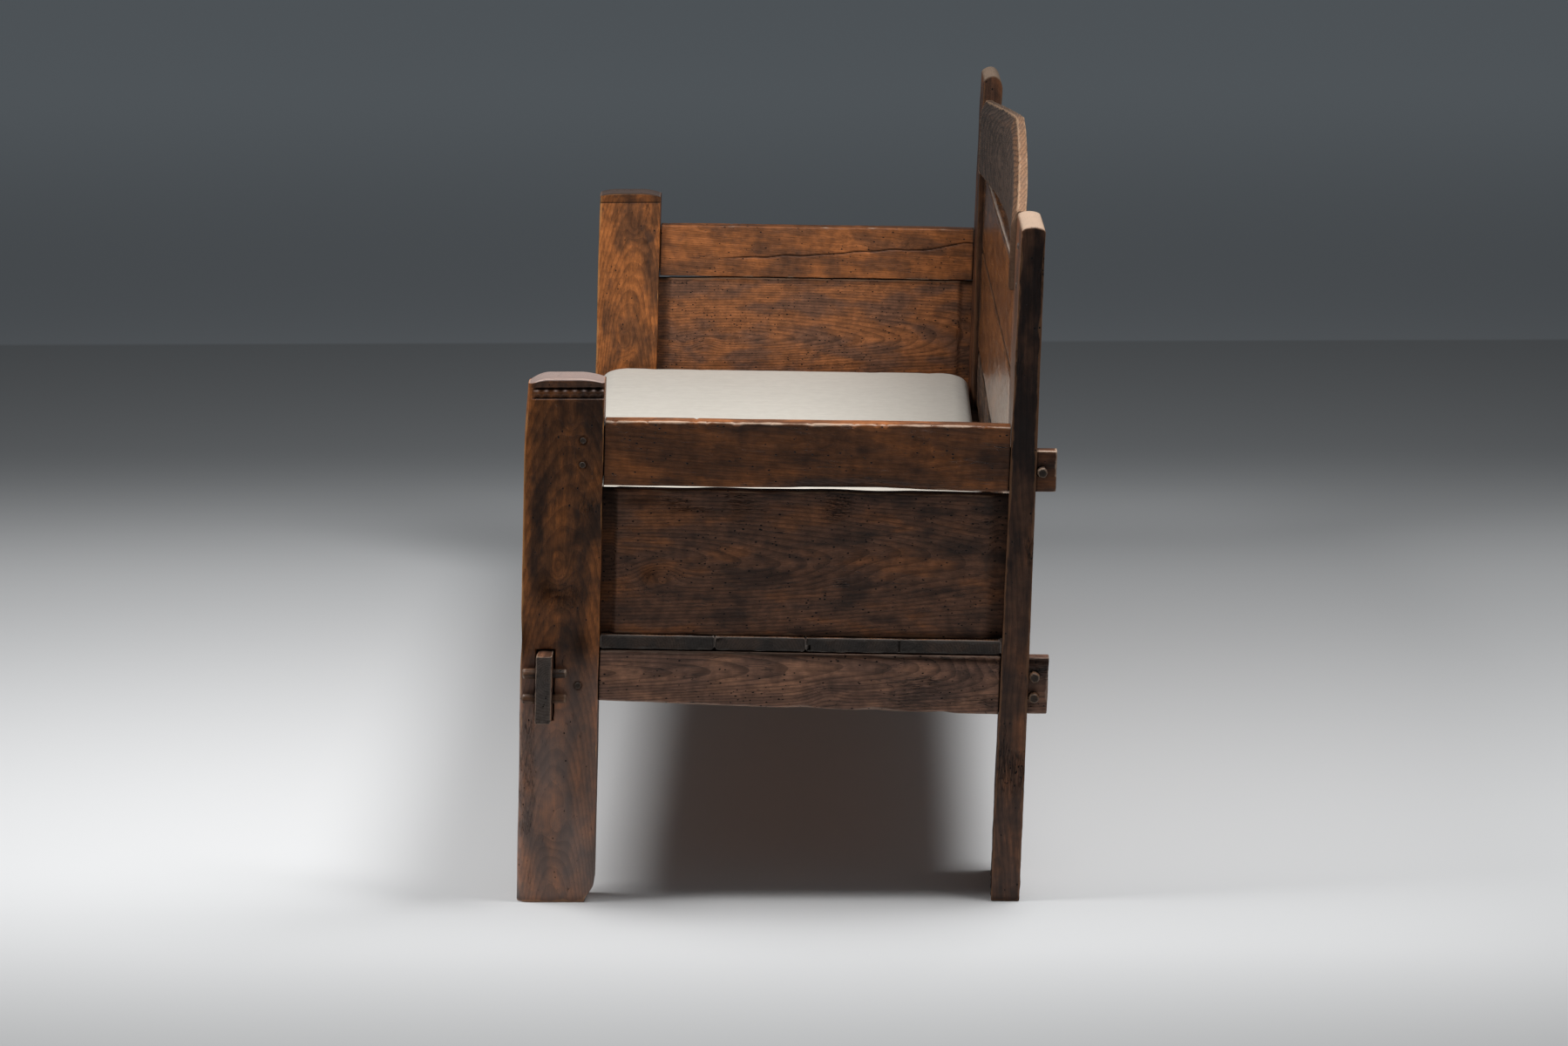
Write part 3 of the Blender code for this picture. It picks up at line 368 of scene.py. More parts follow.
def closed_tube(tube, across, through):
    """Points and faces of rings joined along a piece, with a grid over each end; a ring is two runs of
    across steps and two of through steps, turn about."""
    around = tube.shape[1]
    number = np.arange(tube.shape[0] * around).reshape(tube.shape[:2])
    number = np.concatenate([number, number[:, :1]], axis=1)
    faces = [quads_of(number.T)]
    points = [tube.reshape(-1, 3)]
    count = tube.shape[0] * around
    inner = (across - 1) * (through - 1)
    for end in (0, -1):
        grid = end_grid(tube[end], across, through)
        index = np.empty(grid.shape[:2], np.int64)
        border = number[end, :-1]
        index[:, 0] = border[:across + 1]
        index[-1, :] = border[across:across + through + 1]
        index[::-1, -1] = border[across + through:2 * across + through + 1]
        index[0, ::-1] = np.append(border[2 * across + through:], border[0])
        index[1:-1, 1:-1] = count + np.arange(inner).reshape(across - 1, through - 1)
        points.append(grid[1:-1, 1:-1].reshape(-1, 3))
        faces.append(quads_of(index) if end == -1 else quads_of(index)[:, ::-1])
        count += inner
    return np.concatenate(points), np.concatenate(faces)


def add_skin(name, points, faces, marks, finish):
    """A closed mesh from arrays of points and faces, with its marks kept as attributes for the finish."""
    if volume_of(points, faces) < 0:
        faces = faces[:, ::-1]
    mesh = bpy.data.meshes.new(name)
    mesh.vertices.add(len(points))
    mesh.vertices.foreach_set("co", points.astype(np.float32).ravel())
    mesh.loops.add(faces.size)
    mesh.loops.foreach_set("vertex_index", faces.astype(np.int32).ravel())
    mesh.polygons.add(len(faces))
    mesh.polygons.foreach_set("loop_start", np.arange(len(faces), dtype=np.int32) * 4)
    mesh.update(calc_edges=True)
    mesh.validate()
    for key, values in marks.items():
        vector = values.ndim == 2
        layer = mesh.attributes.new(key, "FLOAT_VECTOR" if vector else "FLOAT", "POINT")
        layer.data.foreach_set("vector" if vector else "value", values.astype(np.float32).ravel())
    mesh.shade_smooth()
    mesh.set_sharp_from_angle(angle=math.radians(50))
    mesh.materials.append(finish)
    piece = bpy.data.objects.new(name, mesh)
    bpy.context.scene.collection.objects.link(piece)
    return piece


def fit(piece, node, slot_name, body="frame"):
    """Puts a finished piece on a body in its node's place and hides the node's part; the slot name is not
    used.
    """
    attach(piece, body)
    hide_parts(node)


def section_ring(edges, radius, columns, turn):
    """A rectangle with four rounded corners at each station: half a corner's arc, a straight run of columns
    and the next corner's first half, four times round."""
    b_low, b_high, c_low, c_high = edges
    corners = ((b_low, c_low, -1, -1), (b_high, c_low, 1, -1), (b_high, c_high, 1, 1), (b_low, c_high, -1, 1))
    arcs = []
    for number, (b_edge, c_edge, b_way, c_way) in enumerate(corners):
        round_off = radius[:, number, None]
        angle = np.pi + number * np.pi / 2 + turn
        arcs.append(np.stack([
            b_edge[:, None] - b_way * round_off + round_off * np.cos(angle),
            c_edge[:, None] - c_way * round_off + round_off * np.sin(angle),
        ], axis=-1))
    half = ARC_STEPS // 2
    ring = []
    for side in range(4):
        here, following = arcs[side], arcs[(side + 1) % 4]
        share = np.linspace(0, 1, columns[side % 2] + 2)[1:-1, None]
        last, first = here[:, -1:], following[:, :1]
        ring += [here[:, half:], last + (first - last) * share, following[:, :half]]
    return np.concatenate(ring, axis=1)


def timber(name, stations, width, thick, radii, columns, place, relief, figure, finish, ends=(0.002, 0.002)):
    """The skin of one sawn piece.

    A ring round the section is carried along the stations. The first and last rings draw in along a quarter
    circle, a = r(1 - cos t) and inset r(1 - sin t), and a grid closes each end. Relief sinks each point along
    its normal, and place sets it in the bench.
    """
    turn = np.linspace(0, np.pi / 2, ARC_STEPS + 1)
    start = stations[0] + ends[0] * (1 - np.cos(turn))
    finish_off = stations[-1] - ends[1] * (1 - np.cos(turn[::-1]))
    middle = stations[(stations > start[-1] + 1e-6) & (stations < finish_off[0] - 1e-6)]
    a = np.concatenate([start, middle, finish_off])
    drawn = 1 - np.sin(turn)
    inset = np.concatenate([ends[0] * drawn, 0 * middle, ends[1] * drawn[::-1]])
    b_low, b_high = width(a)
    c_low, c_high = thick(a)
    room = 0.48 * np.minimum(b_high - b_low, c_high - c_low) - inset
    radius = np.clip(radii(a) - inset[:, None], 0.0002, room[:, None])
    edges = (b_low + inset, b_high - inset, c_low + inset, c_high - inset)
    section = section_ring(edges, radius, columns, turn)
    tube = np.concatenate([np.broadcast_to(a[:, None, None], (*section.shape[:2], 1)), section], axis=-1)
    points, faces = closed_tube(tube, columns[0] + ARC_STEPS + 1, columns[1] + ARC_STEPS + 1)
    out = normals_of(points, faces)
    at_a, at_b, at_c = points.T
    from_ends = np.minimum(at_a - a[0], a[-1] - at_a)
    from_edges = np.minimum(at_b - np.interp(at_a, a, b_low), np.interp(at_a, a, b_high) - at_b)
    from_faces = np.minimum(at_c - np.interp(at_a, a, c_low), np.interp(at_a, a, c_high) - at_c)
    nearest = np.sort(np.stack([from_ends, from_edges, from_faces], axis=-1), axis=1)
    skin = SimpleNamespace(
        at=points, a=at_a, b=at_b, c=at_c, out=out, show=out[:, 2] > FACING, inner=out[:, 2] < -FACING,
        end=out[:, 0] ** 2, arris=nearest[:, 1],
    )
    sunk, own = relief(skin)
    marks = {key: value + 0 * at_a for key, value in {
        "arris": skin.arris, "end_grain_and_highlight": skin.end, "torn": 0.0, **own
    }.items()}
    for key in ("end_grain_and_highlight", "torn", "grime_and_shade"):
        marks[key] = np.clip(marks[key], 0, 1)
    marks["grain_at"] = figure(skin)
    return add_skin(name, place(points - out * sunk[:, None]), faces, marks, finish)


def worked(skin, seed, hollow=0.0005, coarse=0.0002):
    """Depth of a hand-worked face: broad adze hollows along the grain and finer raised grain."""
    broad = noise_at(skin.at, 0.030, seed, 3.0)
    fine = noise_at(skin.at, 0.0035, seed + 1, 9.0)
    return hollow * broad ** 2 + coarse * fine


def grown(skin, shift, pith, lean, knots=()):
    """Places in the tree: the rings' axis runs along a, starts pith metres off the piece and leans away. Over
    each knot (a, b, radius, height) the rings bulge by height exp(-d^2), d in knot radii."""
    wave_b = noise_at(skin.at, 0.05, 31 + int(shift), 4.0) - 0.5
    wave_c = noise_at(skin.at, 0.03, 37 + int(shift), 4.0) - 0.5
    bulge = sum(height * spot(skin, a, b, 1.8 * size, size) for a, b, size, height in knots)
    return np.stack([
        skin.a + shift,
        skin.b - pith[0] - lean[0] * skin.a + 0.012 * wave_b,
        skin.c - pith[1] - lean[1] * skin.a + 0.008 * wave_c + bulge,
    ], axis=-1)


WAVE_PITCH = 0.314
HOLE_PITCH = 0.0047
INK = (0.020, 0.015, 0.014)
HOLE_DARK = (0.004, 0.003, 0.003)
GRIME_AND_SHADE_DARK = (0.008, 0.006, 0.005)


def grain_noise(tree, at, along, across, detail=3.0, shift=0.0):
    """Noise with lumps so long along the grain and so wide across it, in metres."""
    turned = add_node(
        tree, "Mapping", Vector=at, Location=(shift, shift, shift), Scale=(1 / along, 1 / across, 1 / across)
    )
    return add_node(tree, "TexNoise", Vector=turned.outputs[0], Scale=1.0, Detail=detail).outputs["Fac"]


def spread(tree, value, low, high, start, end):
    """The value's run from low to high stretched to run from start to end, and held there beyond it."""
    return add_node(
        tree, "MapRange", Value=value, From_Min=low, From_Max=high, To_Min=start, To_Max=end
    ).outputs[0]


def oak_pits(tree, at, rings, torn, holes, checks):
    """Beetle holes with drying checks, and pores, each 1 in the pit and 0 on sound wood. A hole is a disc at
    a cell's centre, in cells drawn by lot within herds; a check follows the middle level of a long noise."""
    cells = add_node(tree, "Mapping", Vector=at, Scale=(0.62, 1.0, 1.0)).outputs[0]
    bored = add_node(tree, "TexVoronoi", Vector=cells, Scale=1 / HOLE_PITCH)
    lots = add_node(tree, "SeparateXYZ", Vector=bored.outputs["Color"]).outputs
    herd = spread(tree, grain_noise(tree, at, 0.07, 0.05, 2.0, 21.0), 0.42, 0.64, 0.11 * holes, 0.9 * holes)
    herd = maths(tree, "MAXIMUM", herd, maths(tree, "MULTIPLY", torn, 0.7))
    size = maths(tree, "MULTIPLY_ADD", lots["Y"], 0.13, 0.10)
    room = maths(tree, "MULTIPLY", maths(tree, "LESS_THAN", lots["X"], herd), size)
    hole = faded(tree, maths(tree, "SUBTRACT", bored.outputs["Distance"], room), 0.02, -0.03)
    split = grain_noise(tree, at, 0.060, 0.006, 2.0, 29.0)
    line = maths(tree, "ABSOLUTE", maths(tree, "SUBTRACT", split, 0.5))
    where = faded(tree, grain_noise(tree, at, 0.05, 0.012, 1.0, 33.0), 0.72 - 0.25 * checks, 0.82)
    check = maths(tree, "MULTIPLY", faded(tree, line, 0.018, 0.004), maths(tree, "MAXIMUM", where, torn))
    pores = grain_noise(tree, at, 0.0045, 0.0006, 1.0, 61.0)
    pore = maths(tree, "MULTIPLY", faded(tree, pores, 0.64, 0.72), spread(tree, rings, 0.5, 0.0, 0.25, 0.9))
    return maths(tree, "MAXIMUM", hole, maths(tree, "MULTIPLY", check, 0.85)), pore


def oak_finish(name, deep, body, warm, worn, raw, gloss, ring=0.0035, ring_depth=0.6, holes=0.5, checks=0.5,
               wear=1.0, cloudy=1.0, raw_rings=1.0):
    """Old waxed oak: growth rings round the tree's axis, pores and streaks drawn out along the grain, warm
    and dark clouds, blue-black stains, beetle holes, drying checks, and arrises worn back to pale wood.
    The tone, grime and end-grain marks also carry painted light: warmer, paler colour where a face is painted
    as lit, and darkening where painted shade falls. Heights are in millimetres."""
    finish, tree, shader = new_finish(name)
    at = add_node(tree, "Attribute", {"attribute_name": "grain_at"}).outputs["Vector"]
    arris, tone_and_painted_light, grime_and_shade, torn, end = (
        add_node(tree, "Attribute", {"attribute_name": key}).outputs["Fac"]
        for key in ("arris", "tone_and_painted_light", "grime_and_shade", "torn", "end_grain_and_highlight")
    )
    squeezed = add_node(tree, "Mapping", Vector=at, Scale=(0.15, 1.0, 1.0)).outputs[0]
    rings = add_node(
        tree, "TexWave", {"wave_type": "RINGS", "rings_direction": "X", "wave_profile": "SAW"},
        Vector=squeezed, Scale=WAVE_PITCH / ring, Distortion=4.0, Detail=3.0, Detail_Scale=0.2,
        Detail_Roughness=0.6,
    ).outputs["Fac"]
    fibre = grain_noise(tree, at, 0.022, 0.0008, 4.0)
    streak = grain_noise(tree, at, 0.18, 0.006, 3.0, 3.1)
    cloud = grain_noise(tree, at, 0.085, 0.032, 4.0, 7.7)
    blot = grain_noise(tree, at, 0.032, 0.017, 4.0, 13.3)
    mottle = grain_noise(tree, at, 0.011, 0.015, 4.0, 17.7)
    dent = grain_noise(tree, at, 0.012, 0.008, 2.0, 51.0)
    rip = faded(tree, grain_noise(tree, at, 0.012, 0.0012, 2.0, 41.0), 0.45, 0.6)
    rip = maths(tree, "MULTIPLY", rip, torn)
    pit, pore = oak_pits(tree, at, rings, torn, holes, checks)

    warmth = maths(tree, "ADD", spread(tree, cloud, 0.38, 0.62, -0.62 * cloudy, 0.85 * cloudy), tone_and_painted_light)
    plain = mixed(tree, faded(tree, warmth, -0.5, 0.25), deep, body)
    coloured = mixed(tree, faded(tree, warmth, 0.20, 1.0), plain, warm)
    late = maths(tree, "MULTIPLY", faded(tree, rings, 0.35, 0.95), ring_depth)
    shade = spread(tree, late, 0, 1, 1.22, 0.32)
    for pattern, calm, least in ((streak, 0.35, 0.80), (fibre, 0.35, 0.78), (mottle, 0.36, 0.80)):
        shade = maths(tree, "MULTIPLY", shade, spread(tree, pattern, calm, 1 - calm, least, 1.18))
    figured = mixed(tree, 1.0, coloured, shade, "MULTIPLY")
    stained = mixed(tree, maths(tree, "MULTIPLY", faded(tree, blot, 0.57, 0.70), 0.5 * cloudy), figured, INK)
    rub = maths(tree, "MULTIPLY_ADD", blot, 0.010, -0.0035)
    rubbed = faded(tree, maths(tree, "SUBTRACT", arris, rub), 0.0022, 0.0)
    bared = mixed(tree, maths(tree, "MULTIPLY", rubbed, 0.75 * wear), stained, worn)
    end_rings = mixed(tree, maths(tree, "MULTIPLY", faded(tree, rings, 0.2, 0.9), raw_rings), raw, deep)
    ended = mixed(tree, maths(tree, "MULTIPLY", end, 0.85), bared, end_rings)
    dark = maths(tree, "MAXIMUM", pit, maths(tree, "MULTIPLY", pore, 0.6))
    pitted = mixed(tree, dark, ended, HOLE_DARK)
    # Darkening by the grime mark: real dirt, and painted shade where parts meet or overhang.
    dirt_and_shade = maths(tree, "MULTIPLY", maths(tree, "MAXIMUM", grime_and_shade, maths(tree, "MULTIPLY", rip, 0.5)), 0.93)
    fill_socket(tree, shader.inputs["Base Color"], mixed(tree, dirt_and_shade, pitted, GRIME_AND_SHADE_DARK))

    matt = maths(tree, "MULTIPLY_ADD", blot, 0.30, gloss - 0.15)
    matt = maths(tree, "MULTIPLY_ADD", fibre, 0.18, maths(tree, "SUBTRACT", matt, 0.09))
    matt = maths(tree, "MULTIPLY_ADD", end, 0.25, matt)
    matt = maths(tree, "MULTIPLY_ADD", maths(tree, "MAXIMUM", grime_and_shade, pit), 0.4, matt)
    fill_socket(tree, shader.inputs["Roughness"], matt)
    fill_socket(tree, shader.inputs["Specular IOR Level"], spread(tree, dirt_and_shade, 0.0, 0.8, 0.35, 0.05))
    height = 0.0
    for pattern, rise in (
        (fibre, 0.22), (rings, 0.14), (streak, 0.30), (dent, 0.40), (pore, -0.15), (rip, -0.7), (pit, -1.2)
    ):
        height = maths(tree, "MULTIPLY_ADD", pattern, rise, height)
    bump = add_node(tree, "Bump", Strength=1.0, Distance=0.001, Height=height)
    fill_socket(tree, shader.inputs["Normal"], bump.outputs[0])
    return finish


POST_OAK = oak_finish(
    "front_post_oak", gloss=0.40, holes=0.20, ring_depth=0.40, cloudy=0.8, raw_rings=0.12,
    deep=(0.050, 0.020, 0.009), body=(0.144, 0.052, 0.017), warm=(0.288, 0.095, 0.024),
    worn=(0.500, 0.220, 0.070), raw=(0.640, 0.490, 0.440),
)


def carved_band(skin):
    """Depth, blackness with painted shade in the hollow, a painted highlight on the top arris and the cusps,
    and a pale share in the hollow, of the carving: two grooves, a thin lip below, a lowered band
    between with two rows of scoops, (1 - x^2 - y^2)^0.6 deep, and a hollow above."""
    z, middle = skin.a, skin.b - POST_SPAN / 2
    upper = ridge(z, UPPER_GROOVE, UPPER_HALF, 4)
    lower = ridge(z, LOWER_GROOVE, LOWER_HALF, 4)
    lip = between(z, *LIP_SPAN)
    band = between(z, *BAND_SPAN)
    scoops = 0 * z
    for start, level in SCALLOP_ROWS:
        off_b = (middle / SCALLOP_PITCH - start + 0.5) % 1 - 0.5
        hollowed = np.clip(1 - (off_b / SCALLOP_SHARE) ** 2 - ((z - level) / SCALLOP_HALF) ** 2, 0, 1)
        scoops = np.maximum(scoops, hollowed ** 0.6)
    moulding = (0.0008 + 0.0014 * ramp(z, 0.700, 0.690)) * between(z, *MOULDING_SPAN)
    depth = np.maximum(UPPER_DEPTH * upper, LOWER_DEPTH * lower) + LIP_DEPTH * lip + BAND_DEPTH * band
    depth = depth + SCALLOP_DEPTH * scoops + moulding
    carved = skin.show * ramp(skin.b, 0.0095, 0.0125)
    depth = depth * carved * (1 - 0.25 * wander(skin.b, 0.008, 12))
    black = (np.maximum(UPPER_DEPTH / 0.0034 * upper, 0.8 * lower) + 0.2 * scoops) * carved
    hollow = skin.show * between(z, *HOLLOW_SPAN)
    # Painted highlight: a pale band along the top outer arris, and glints on the cusps between the scoops and
    # on the lip.
    off_cusp = ((middle / SCALLOP_PITCH + 0.5) % 1 - 0.5) * SCALLOP_PITCH
    cusp_glints = ridge(off_cusp, 0.0, CUSP_GLINT_HALF[0]) * ridge(z, CUSP_GLINT_LEVEL, CUSP_GLINT_HALF[1]) + 0.3 * lip
    above = ramp(z, 0.7005, 0.7020) * ramp(skin.b, 0.010, 0.014)
    # Painted shade darkens the hollow under the top arris; the highlight is laid in as pale end-grain colour.
    return depth, np.maximum(black, 0.30 * hollow), (above + cusp_glints) * carved, 0.10 * hollow * carved


def front_post(side, word, crown_wear):
    """One front post: a is height, b runs back from the front edge, c is the distance from mid bench."""
    def width(z):
        lean_in = crown_wear / 4 * ramp(z, POST_HEIGHT - 0.078, POST_HEIGHT)
        chip = FOOT_CHIP * ramp(z, FOOT_CHIP_HEIGHT, 0.0)
        rot = 0.0006 * ramp(z, 0.20, 0.0) * wander(z, 0.05, 5)
        return lean_in + rot, POST_SPAN - chip - 0.0008 * wander(z, 0.05, 6)

    def thick(z):
        return POST_IN + 0 * z, POST_OUT + 0 * z

    def radii(z):
        plain = 0.0016 + 0.0018 * wander(z, 0.03, 7)
        crown = crown_wear * 0.65 * ramp(z, 0.585, 0.70)
        rotten = (0.0115 * ramp(z, 0.33, 0.12) + 0.001) * (0.75 + 0.5 * wander(z, 0.030, 8))
        front_out = plain + np.maximum(crown, rotten * (z < 0.36))
        back_in = 0.0008 + 0.0006 * wander(z, 0.02, 10)
        back_out = 0.0010 + 0.0012 * wander(z, 0.02, 9) + 0.003 * ramp(z, 0.66, 0.706)
        return np.stack([plain, back_in, back_out, front_out], axis=-1)

    def relief(skin):
        show, inner = skin.show, skin.inner
        carving, black, painted_highlight, hollow = carved_band(skin)
        off = off_rectangle(skin, sum(TENON_Z) / 2, sum(TENON_B) / 2, *MORTISE_HALF)
        mortise = ramp(off, 0.0005, -0.0008) * show
        pegs = sum(ring_mark(skin, a, b, 0.0052, 0.0012) for a, b in OUTER_PEGS)
        peg_ends = sum(ridge(np.hypot(skin.a - a, skin.b - b), 0, 0.0045, 4) for a, b in INNER_PEGS) * inner
        rot = ramp(skin.a, 0.32, 0.10) * ramp(skin.b, 0.026, 0.006)
        rot = 0.0020 * rot * ramp(skin.arris, 0.0002, 0.0015) * noise_at(skin.at, 0.0035, 14, 2.5) * show
        tear = spot(skin, *POST_KNOT, 0.012, 0.022) * noise_at(skin.at * (1, 0.5, 1), 0.003, 15) * show
        black_edge = spot(skin, *BLACK_EDGE)
        stained = sum(spot(skin, *stain) for stain in POST_STAINS) * show
        scribed = ridge(skin.a, SCRIBED_LINE, 0.0010) * inner
        depth = worked(skin, 11) + carving + 0.005 * mortise + 0.0006 * pegs + rot + 0.0012 * tear
        depth = depth + 0.0015 * black_edge + 0.0007 * scribed

        cap = (0.60 if side > 0 else 0.85) * skin.end * (skin.a > 0.5)
        grime_and_shade = black + cap + mortise + 0.8 * pegs + 0.8 * black_edge + 0.84 * tear + 0.6 * stained
        grime_and_shade = grime_and_shade + 0.7 * scribed + 0.45 * peg_ends + 0.5 * ramp(skin.a, 0.682, 0.690) * inner
        grime_and_shade = grime_and_shade + 0.35 * ramp(skin.a, 0.012, 0.0)
        # Painted light: the post's front edge above the seat rail gets a warm tone where it catches the light.
        lit_front_edge = ramp(skin.b, 0.014, 0.004) * ramp(skin.a, 0.37, 0.42)
        eaten = between(skin.a, *EATEN_SPAN) * ramp(skin.b, 0.026, 0.018)
        torn = spot(skin, *POST_SPLIT) + spot(skin, *POST_KNOT, 0.0192, 0.0264)
        torn = (torn + eaten * noise_at(skin.at, 0.012, 17, 2.0)) * show
        bleached = 0.22 * ramp(skin.a, 0.36, 0.28) * (0.5 + noise_at(skin.at, 0.04, 16, 2.0))
        return depth, {
            "tone_and_painted_light": 0.12 + 0.26 * inner + 1.05 * lit_front_edge, "grime_and_shade": grime_and_shade, "torn": torn,
            # Painted highlight from the carving, on the right post only.
            "end_grain_and_highlight": skin.end + painted_highlight * (side > 0) + bleached + hollow,
            "arris": skin.arris + 0.003 * ramp(skin.b, POST_SPAN - 0.012, POST_SPAN - 0.006),
        }

    def figure(skin):
        knots = ((0.452, 0.048, 0.013, 0.012), (0.645, 0.060, 0.010, 0.006), (0.10, 0.05, 0.02, 0.01))
        return grown(skin, 4.0 + side, (0.046, POST_OUT - 0.030), (0.02, -0.14), knots)

    def place(points):
        z, b, c = points.T
        drop = crown_wear * 0.8 * np.clip((CROWN_REACH - b) / CROWN_REACH_EASE, 0, 1.1) ** 2
        drop = drop + CROWN_FALL * np.clip((b - POST_SPAN + CROWN_BACK) / CROWN_BACK, 0, 1) ** 2
        drop = drop + CROWN_DOME * ((2 * c - POST_IN - POST_OUT) / (POST_OUT - POST_IN)) ** 2
        z = z - drop * np.clip((z - POST_HEIGHT + CROWN_EASE) / CROWN_EASE, 0, 1) ** 2
        return np.stack([side * c, FRONT_Y + RAKE * z + b, z], axis=-1)

    post = timber(
        f"front_post_skin_{word}", paces(*POST_PACES), width, thick, radii, (82, 14), place, relief, figure,
        POST_OAK, ends=(0.0012, 0.0032),
    )
    fit(post, f"front_post_{word}", "dark_oak")


front_post(1, "right", 0.013)
front_post(-1, "left", 0.004)

# Rear posts
# Two wide planks set across the bench, thinner towards the top, with a domed end. The rails' tenons pass
# right through them, and the back boards and the seat's rear rail are housed in their inner edges.
REAR_TAPER = 0.004 / 0.897
REAR_NEAR, REAR_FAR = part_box("rear_post_right")
REAR_IN, REAR_OUT = REAR_NEAR.x, REAR_FAR.x
REAR_FOOT_FRONT = REAR_NEAR.y
REAR_FOOT = 0.040
REAR_MIDDLE = REAR_FOOT_FRONT + REAR_FOOT / 2
TENON_X = (0.882, 0.904)
CREST_PEG_X = 0.835
POST_TWIST = 0.005
BACK_TENONS = ((0.5498, 0.6048), (0.2531, 0.3297))
REAR_OAK = oak_finish(
    "rear_post_oak", gloss=0.45, holes=0.30, ring_depth=0.4, cloudy=0.6, raw_rings=0.15,
    deep=(0.016, 0.007, 0.005), body=(0.075, 0.033, 0.018), warm=(0.196, 0.074, 0.030),
    worn=(0.208, 0.096, 0.044), raw=(0.400, 0.290, 0.210),
)


def rear_thickness(z):
    """The post's thickness at height z."""
    return REAR_FOOT - 2 * REAR_TAPER * z


def rear_post(side, word, dome, lean_dome, step):
    """One rear post: a is height, b the distance from mid bench, c runs forward through the thickness. Its
    front face turns a little off square towards the foot."""
    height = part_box(f"rear_post_{word}")[1].z
    peg_heights = [sum(corner.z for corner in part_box(f"crest_peg_{word}_{number}")) / 2 for number in (1, 2)]

    def width(z):
        return REAR_IN + 0 * z, REAR_OUT - 0.0006 * wander(z, 0.04, 21)

    def thick(z):
        return 0 * z, rear_thickness(z) - 0.0007 * wander(z, 0.03, 22)

    def radii(z):
        inner = 0.0008 + 0.0008 * wander(z, 0.025, 23)
        chipped = 0.0012 + 0.0050 * np.clip(wander(z, 0.012, 24) - 0.55, 0, 1)
        return np.stack([inner, chipped, chipped[::-1], inner], axis=-1)

    def relief(skin):
        gaps = 0 * skin.a
        for low, high in BACK_TENONS:
            off = off_rectangle(
                skin, (low + high) / 2, sum(TENON_X) / 2, (high - low) / 2, (TENON_X[1] - TENON_X[0]) / 2
            )
            gaps = np.maximum(gaps, ramp(off, 0.0022, 0.0006) * skin.inner)
        pegs = sum(ring_mark(skin, z, CREST_PEG_X, 0.0055, 0.0015) for z in peg_heights)
        rot = 0.0016 * ramp(skin.a, 0.16, 0.0) * noise_at(skin.at, 0.004, 27, 3.0)
        joint = ridge(skin.b, REAR_IN, 0.004) * (skin.a > 0.34)
        outer = skin.out[:, 1] > FACING
        tone_and_painted_light = 0.30 - outer * (0.30 - 0.30 * ramp(skin.a, 0.42, 0.25) + 0.45 * ramp(skin.a, 0.50, 0.66))
        return worked(skin, 25, 0.0006) + 0.004 * gaps + 0.0005 * pegs + rot, {
            "tone_and_painted_light": tone_and_painted_light + 0.35 * ramp(skin.a, height - 0.03, height),
            "grime_and_shade": gaps + 0.7 * pegs + 0.6 * joint + 0.4 * ramp(skin.a, 0.010, 0.0),
            "torn": outer * ramp(noise_at(skin.at, 0.03, 28, 2.0), 0.62, 0.80),
        }

    def figure(skin):
        return grown(skin, 9.0 + side, (0.80, -0.030), (0.02, 0.02), ((0.52, 0.86, 0.02, 0.01),))

    def place(points):
        z, b, c = points.T
        thickness = rear_thickness(z)
        forward = 2 * c / thickness - 1
        off = np.clip(np.abs(forward), 0, 0.999)
        drop = dome * (1 - np.sqrt(1 - off ** 2)) * (1 - lean_dome * forward)
        drop = drop * ramp(z, height - 2.5 * dome - 0.012, height)
        twist = POST_TWIST * ramp(z, 0.78, 0.35) * (REAR_OUT - b) / (REAR_OUT - REAR_IN)
        y = REAR_FOOT_FRONT + REAR_FOOT + (RAKE - REAR_TAPER) * z - c + twist * np.clip(c / thickness, 0, 1)
        return np.stack([side * b, y, z - drop], axis=-1)

    stations = paces((0.0, step), (height - 0.02, 0.0012), (height, 0))
    post = timber(
        f"rear_post_skin_{word}", stations, width, thick, radii, (50, 16), place, relief, figure, REAR_OAK,
        ends=(0.0015, 0.003),
    )
    fit(post, f"rear_post_{word}", "dark_oak")


rear_post(1, "right", 0.007, 0.0, 0.0025)
rear_post(-1, "left", 0.018, 0.35, 0.0035)

# Arm rails and lower side rails
# Boards between the posts of each end. Each is one piece with the tenon that passes through the rear post,
# bored for its key pegs. The arm's lower arris still has the curve of the tree, and beetles have been at all.
ENDS = ((1, "right"), (-1, "left"))
RAIL_DROP = -math.tan(math.radians(1.1))
SEAT_LEVEL = 0.3640 - RAIL_DROP * FRONT_Y
SEAT_THICK = 0.019
FIT = 0.0003
ARM_TOP = 0.6475
ARM_DEPTH = 0.087
ARM_LOW_LEVEL = ARM_TOP - RAIL_DROP * (FRONT_Y + POST_SPAN + RAKE * ARM_TOP) - ARM_DEPTH
LOWER_TOP_LEVEL = SEAT_LEVEL - SEAT_THICK - FIT
REAR_REACH = 0.027
TENON_TRIM = 0.0006
FRONT_TONGUE = 0.010
KEY_BORE = 0.0064
KEY_BORE_DEPTH = 0.006
ARM_RUN, ARM_FACES = 0.5255, (0.878, 0.908)
ARM_TENON_DEPTH = 0.055
ARM_KEY = (0.0405, 0.0275)
ARM_NICK = (0.118, 0.087, 0.002, 0.003)
WANE_SPAN, WANE_MARK_SPAN = ((0.17, 0.30), (0.52, 0.33)), ((0.17, 0.30), (0.53, 0.36))
ARM_SPLIT, ARM_SPLIT_HALF, ARM_SPLIT_DEPTH = 0.07, 0.0014, 0.0015
LOWER_RUN, LOWER_FACES = 0.5243, (0.876, 0.908)
LOWER_DEPTHS = (0.071, 0.080)
LOWER_KEYS = ((0.0445, 0.0260), (0.0445, 0.0535))
JOINT_HALF = 0.0016
SIDE_PACES = {1: 0.0020, -1: 0.0030}
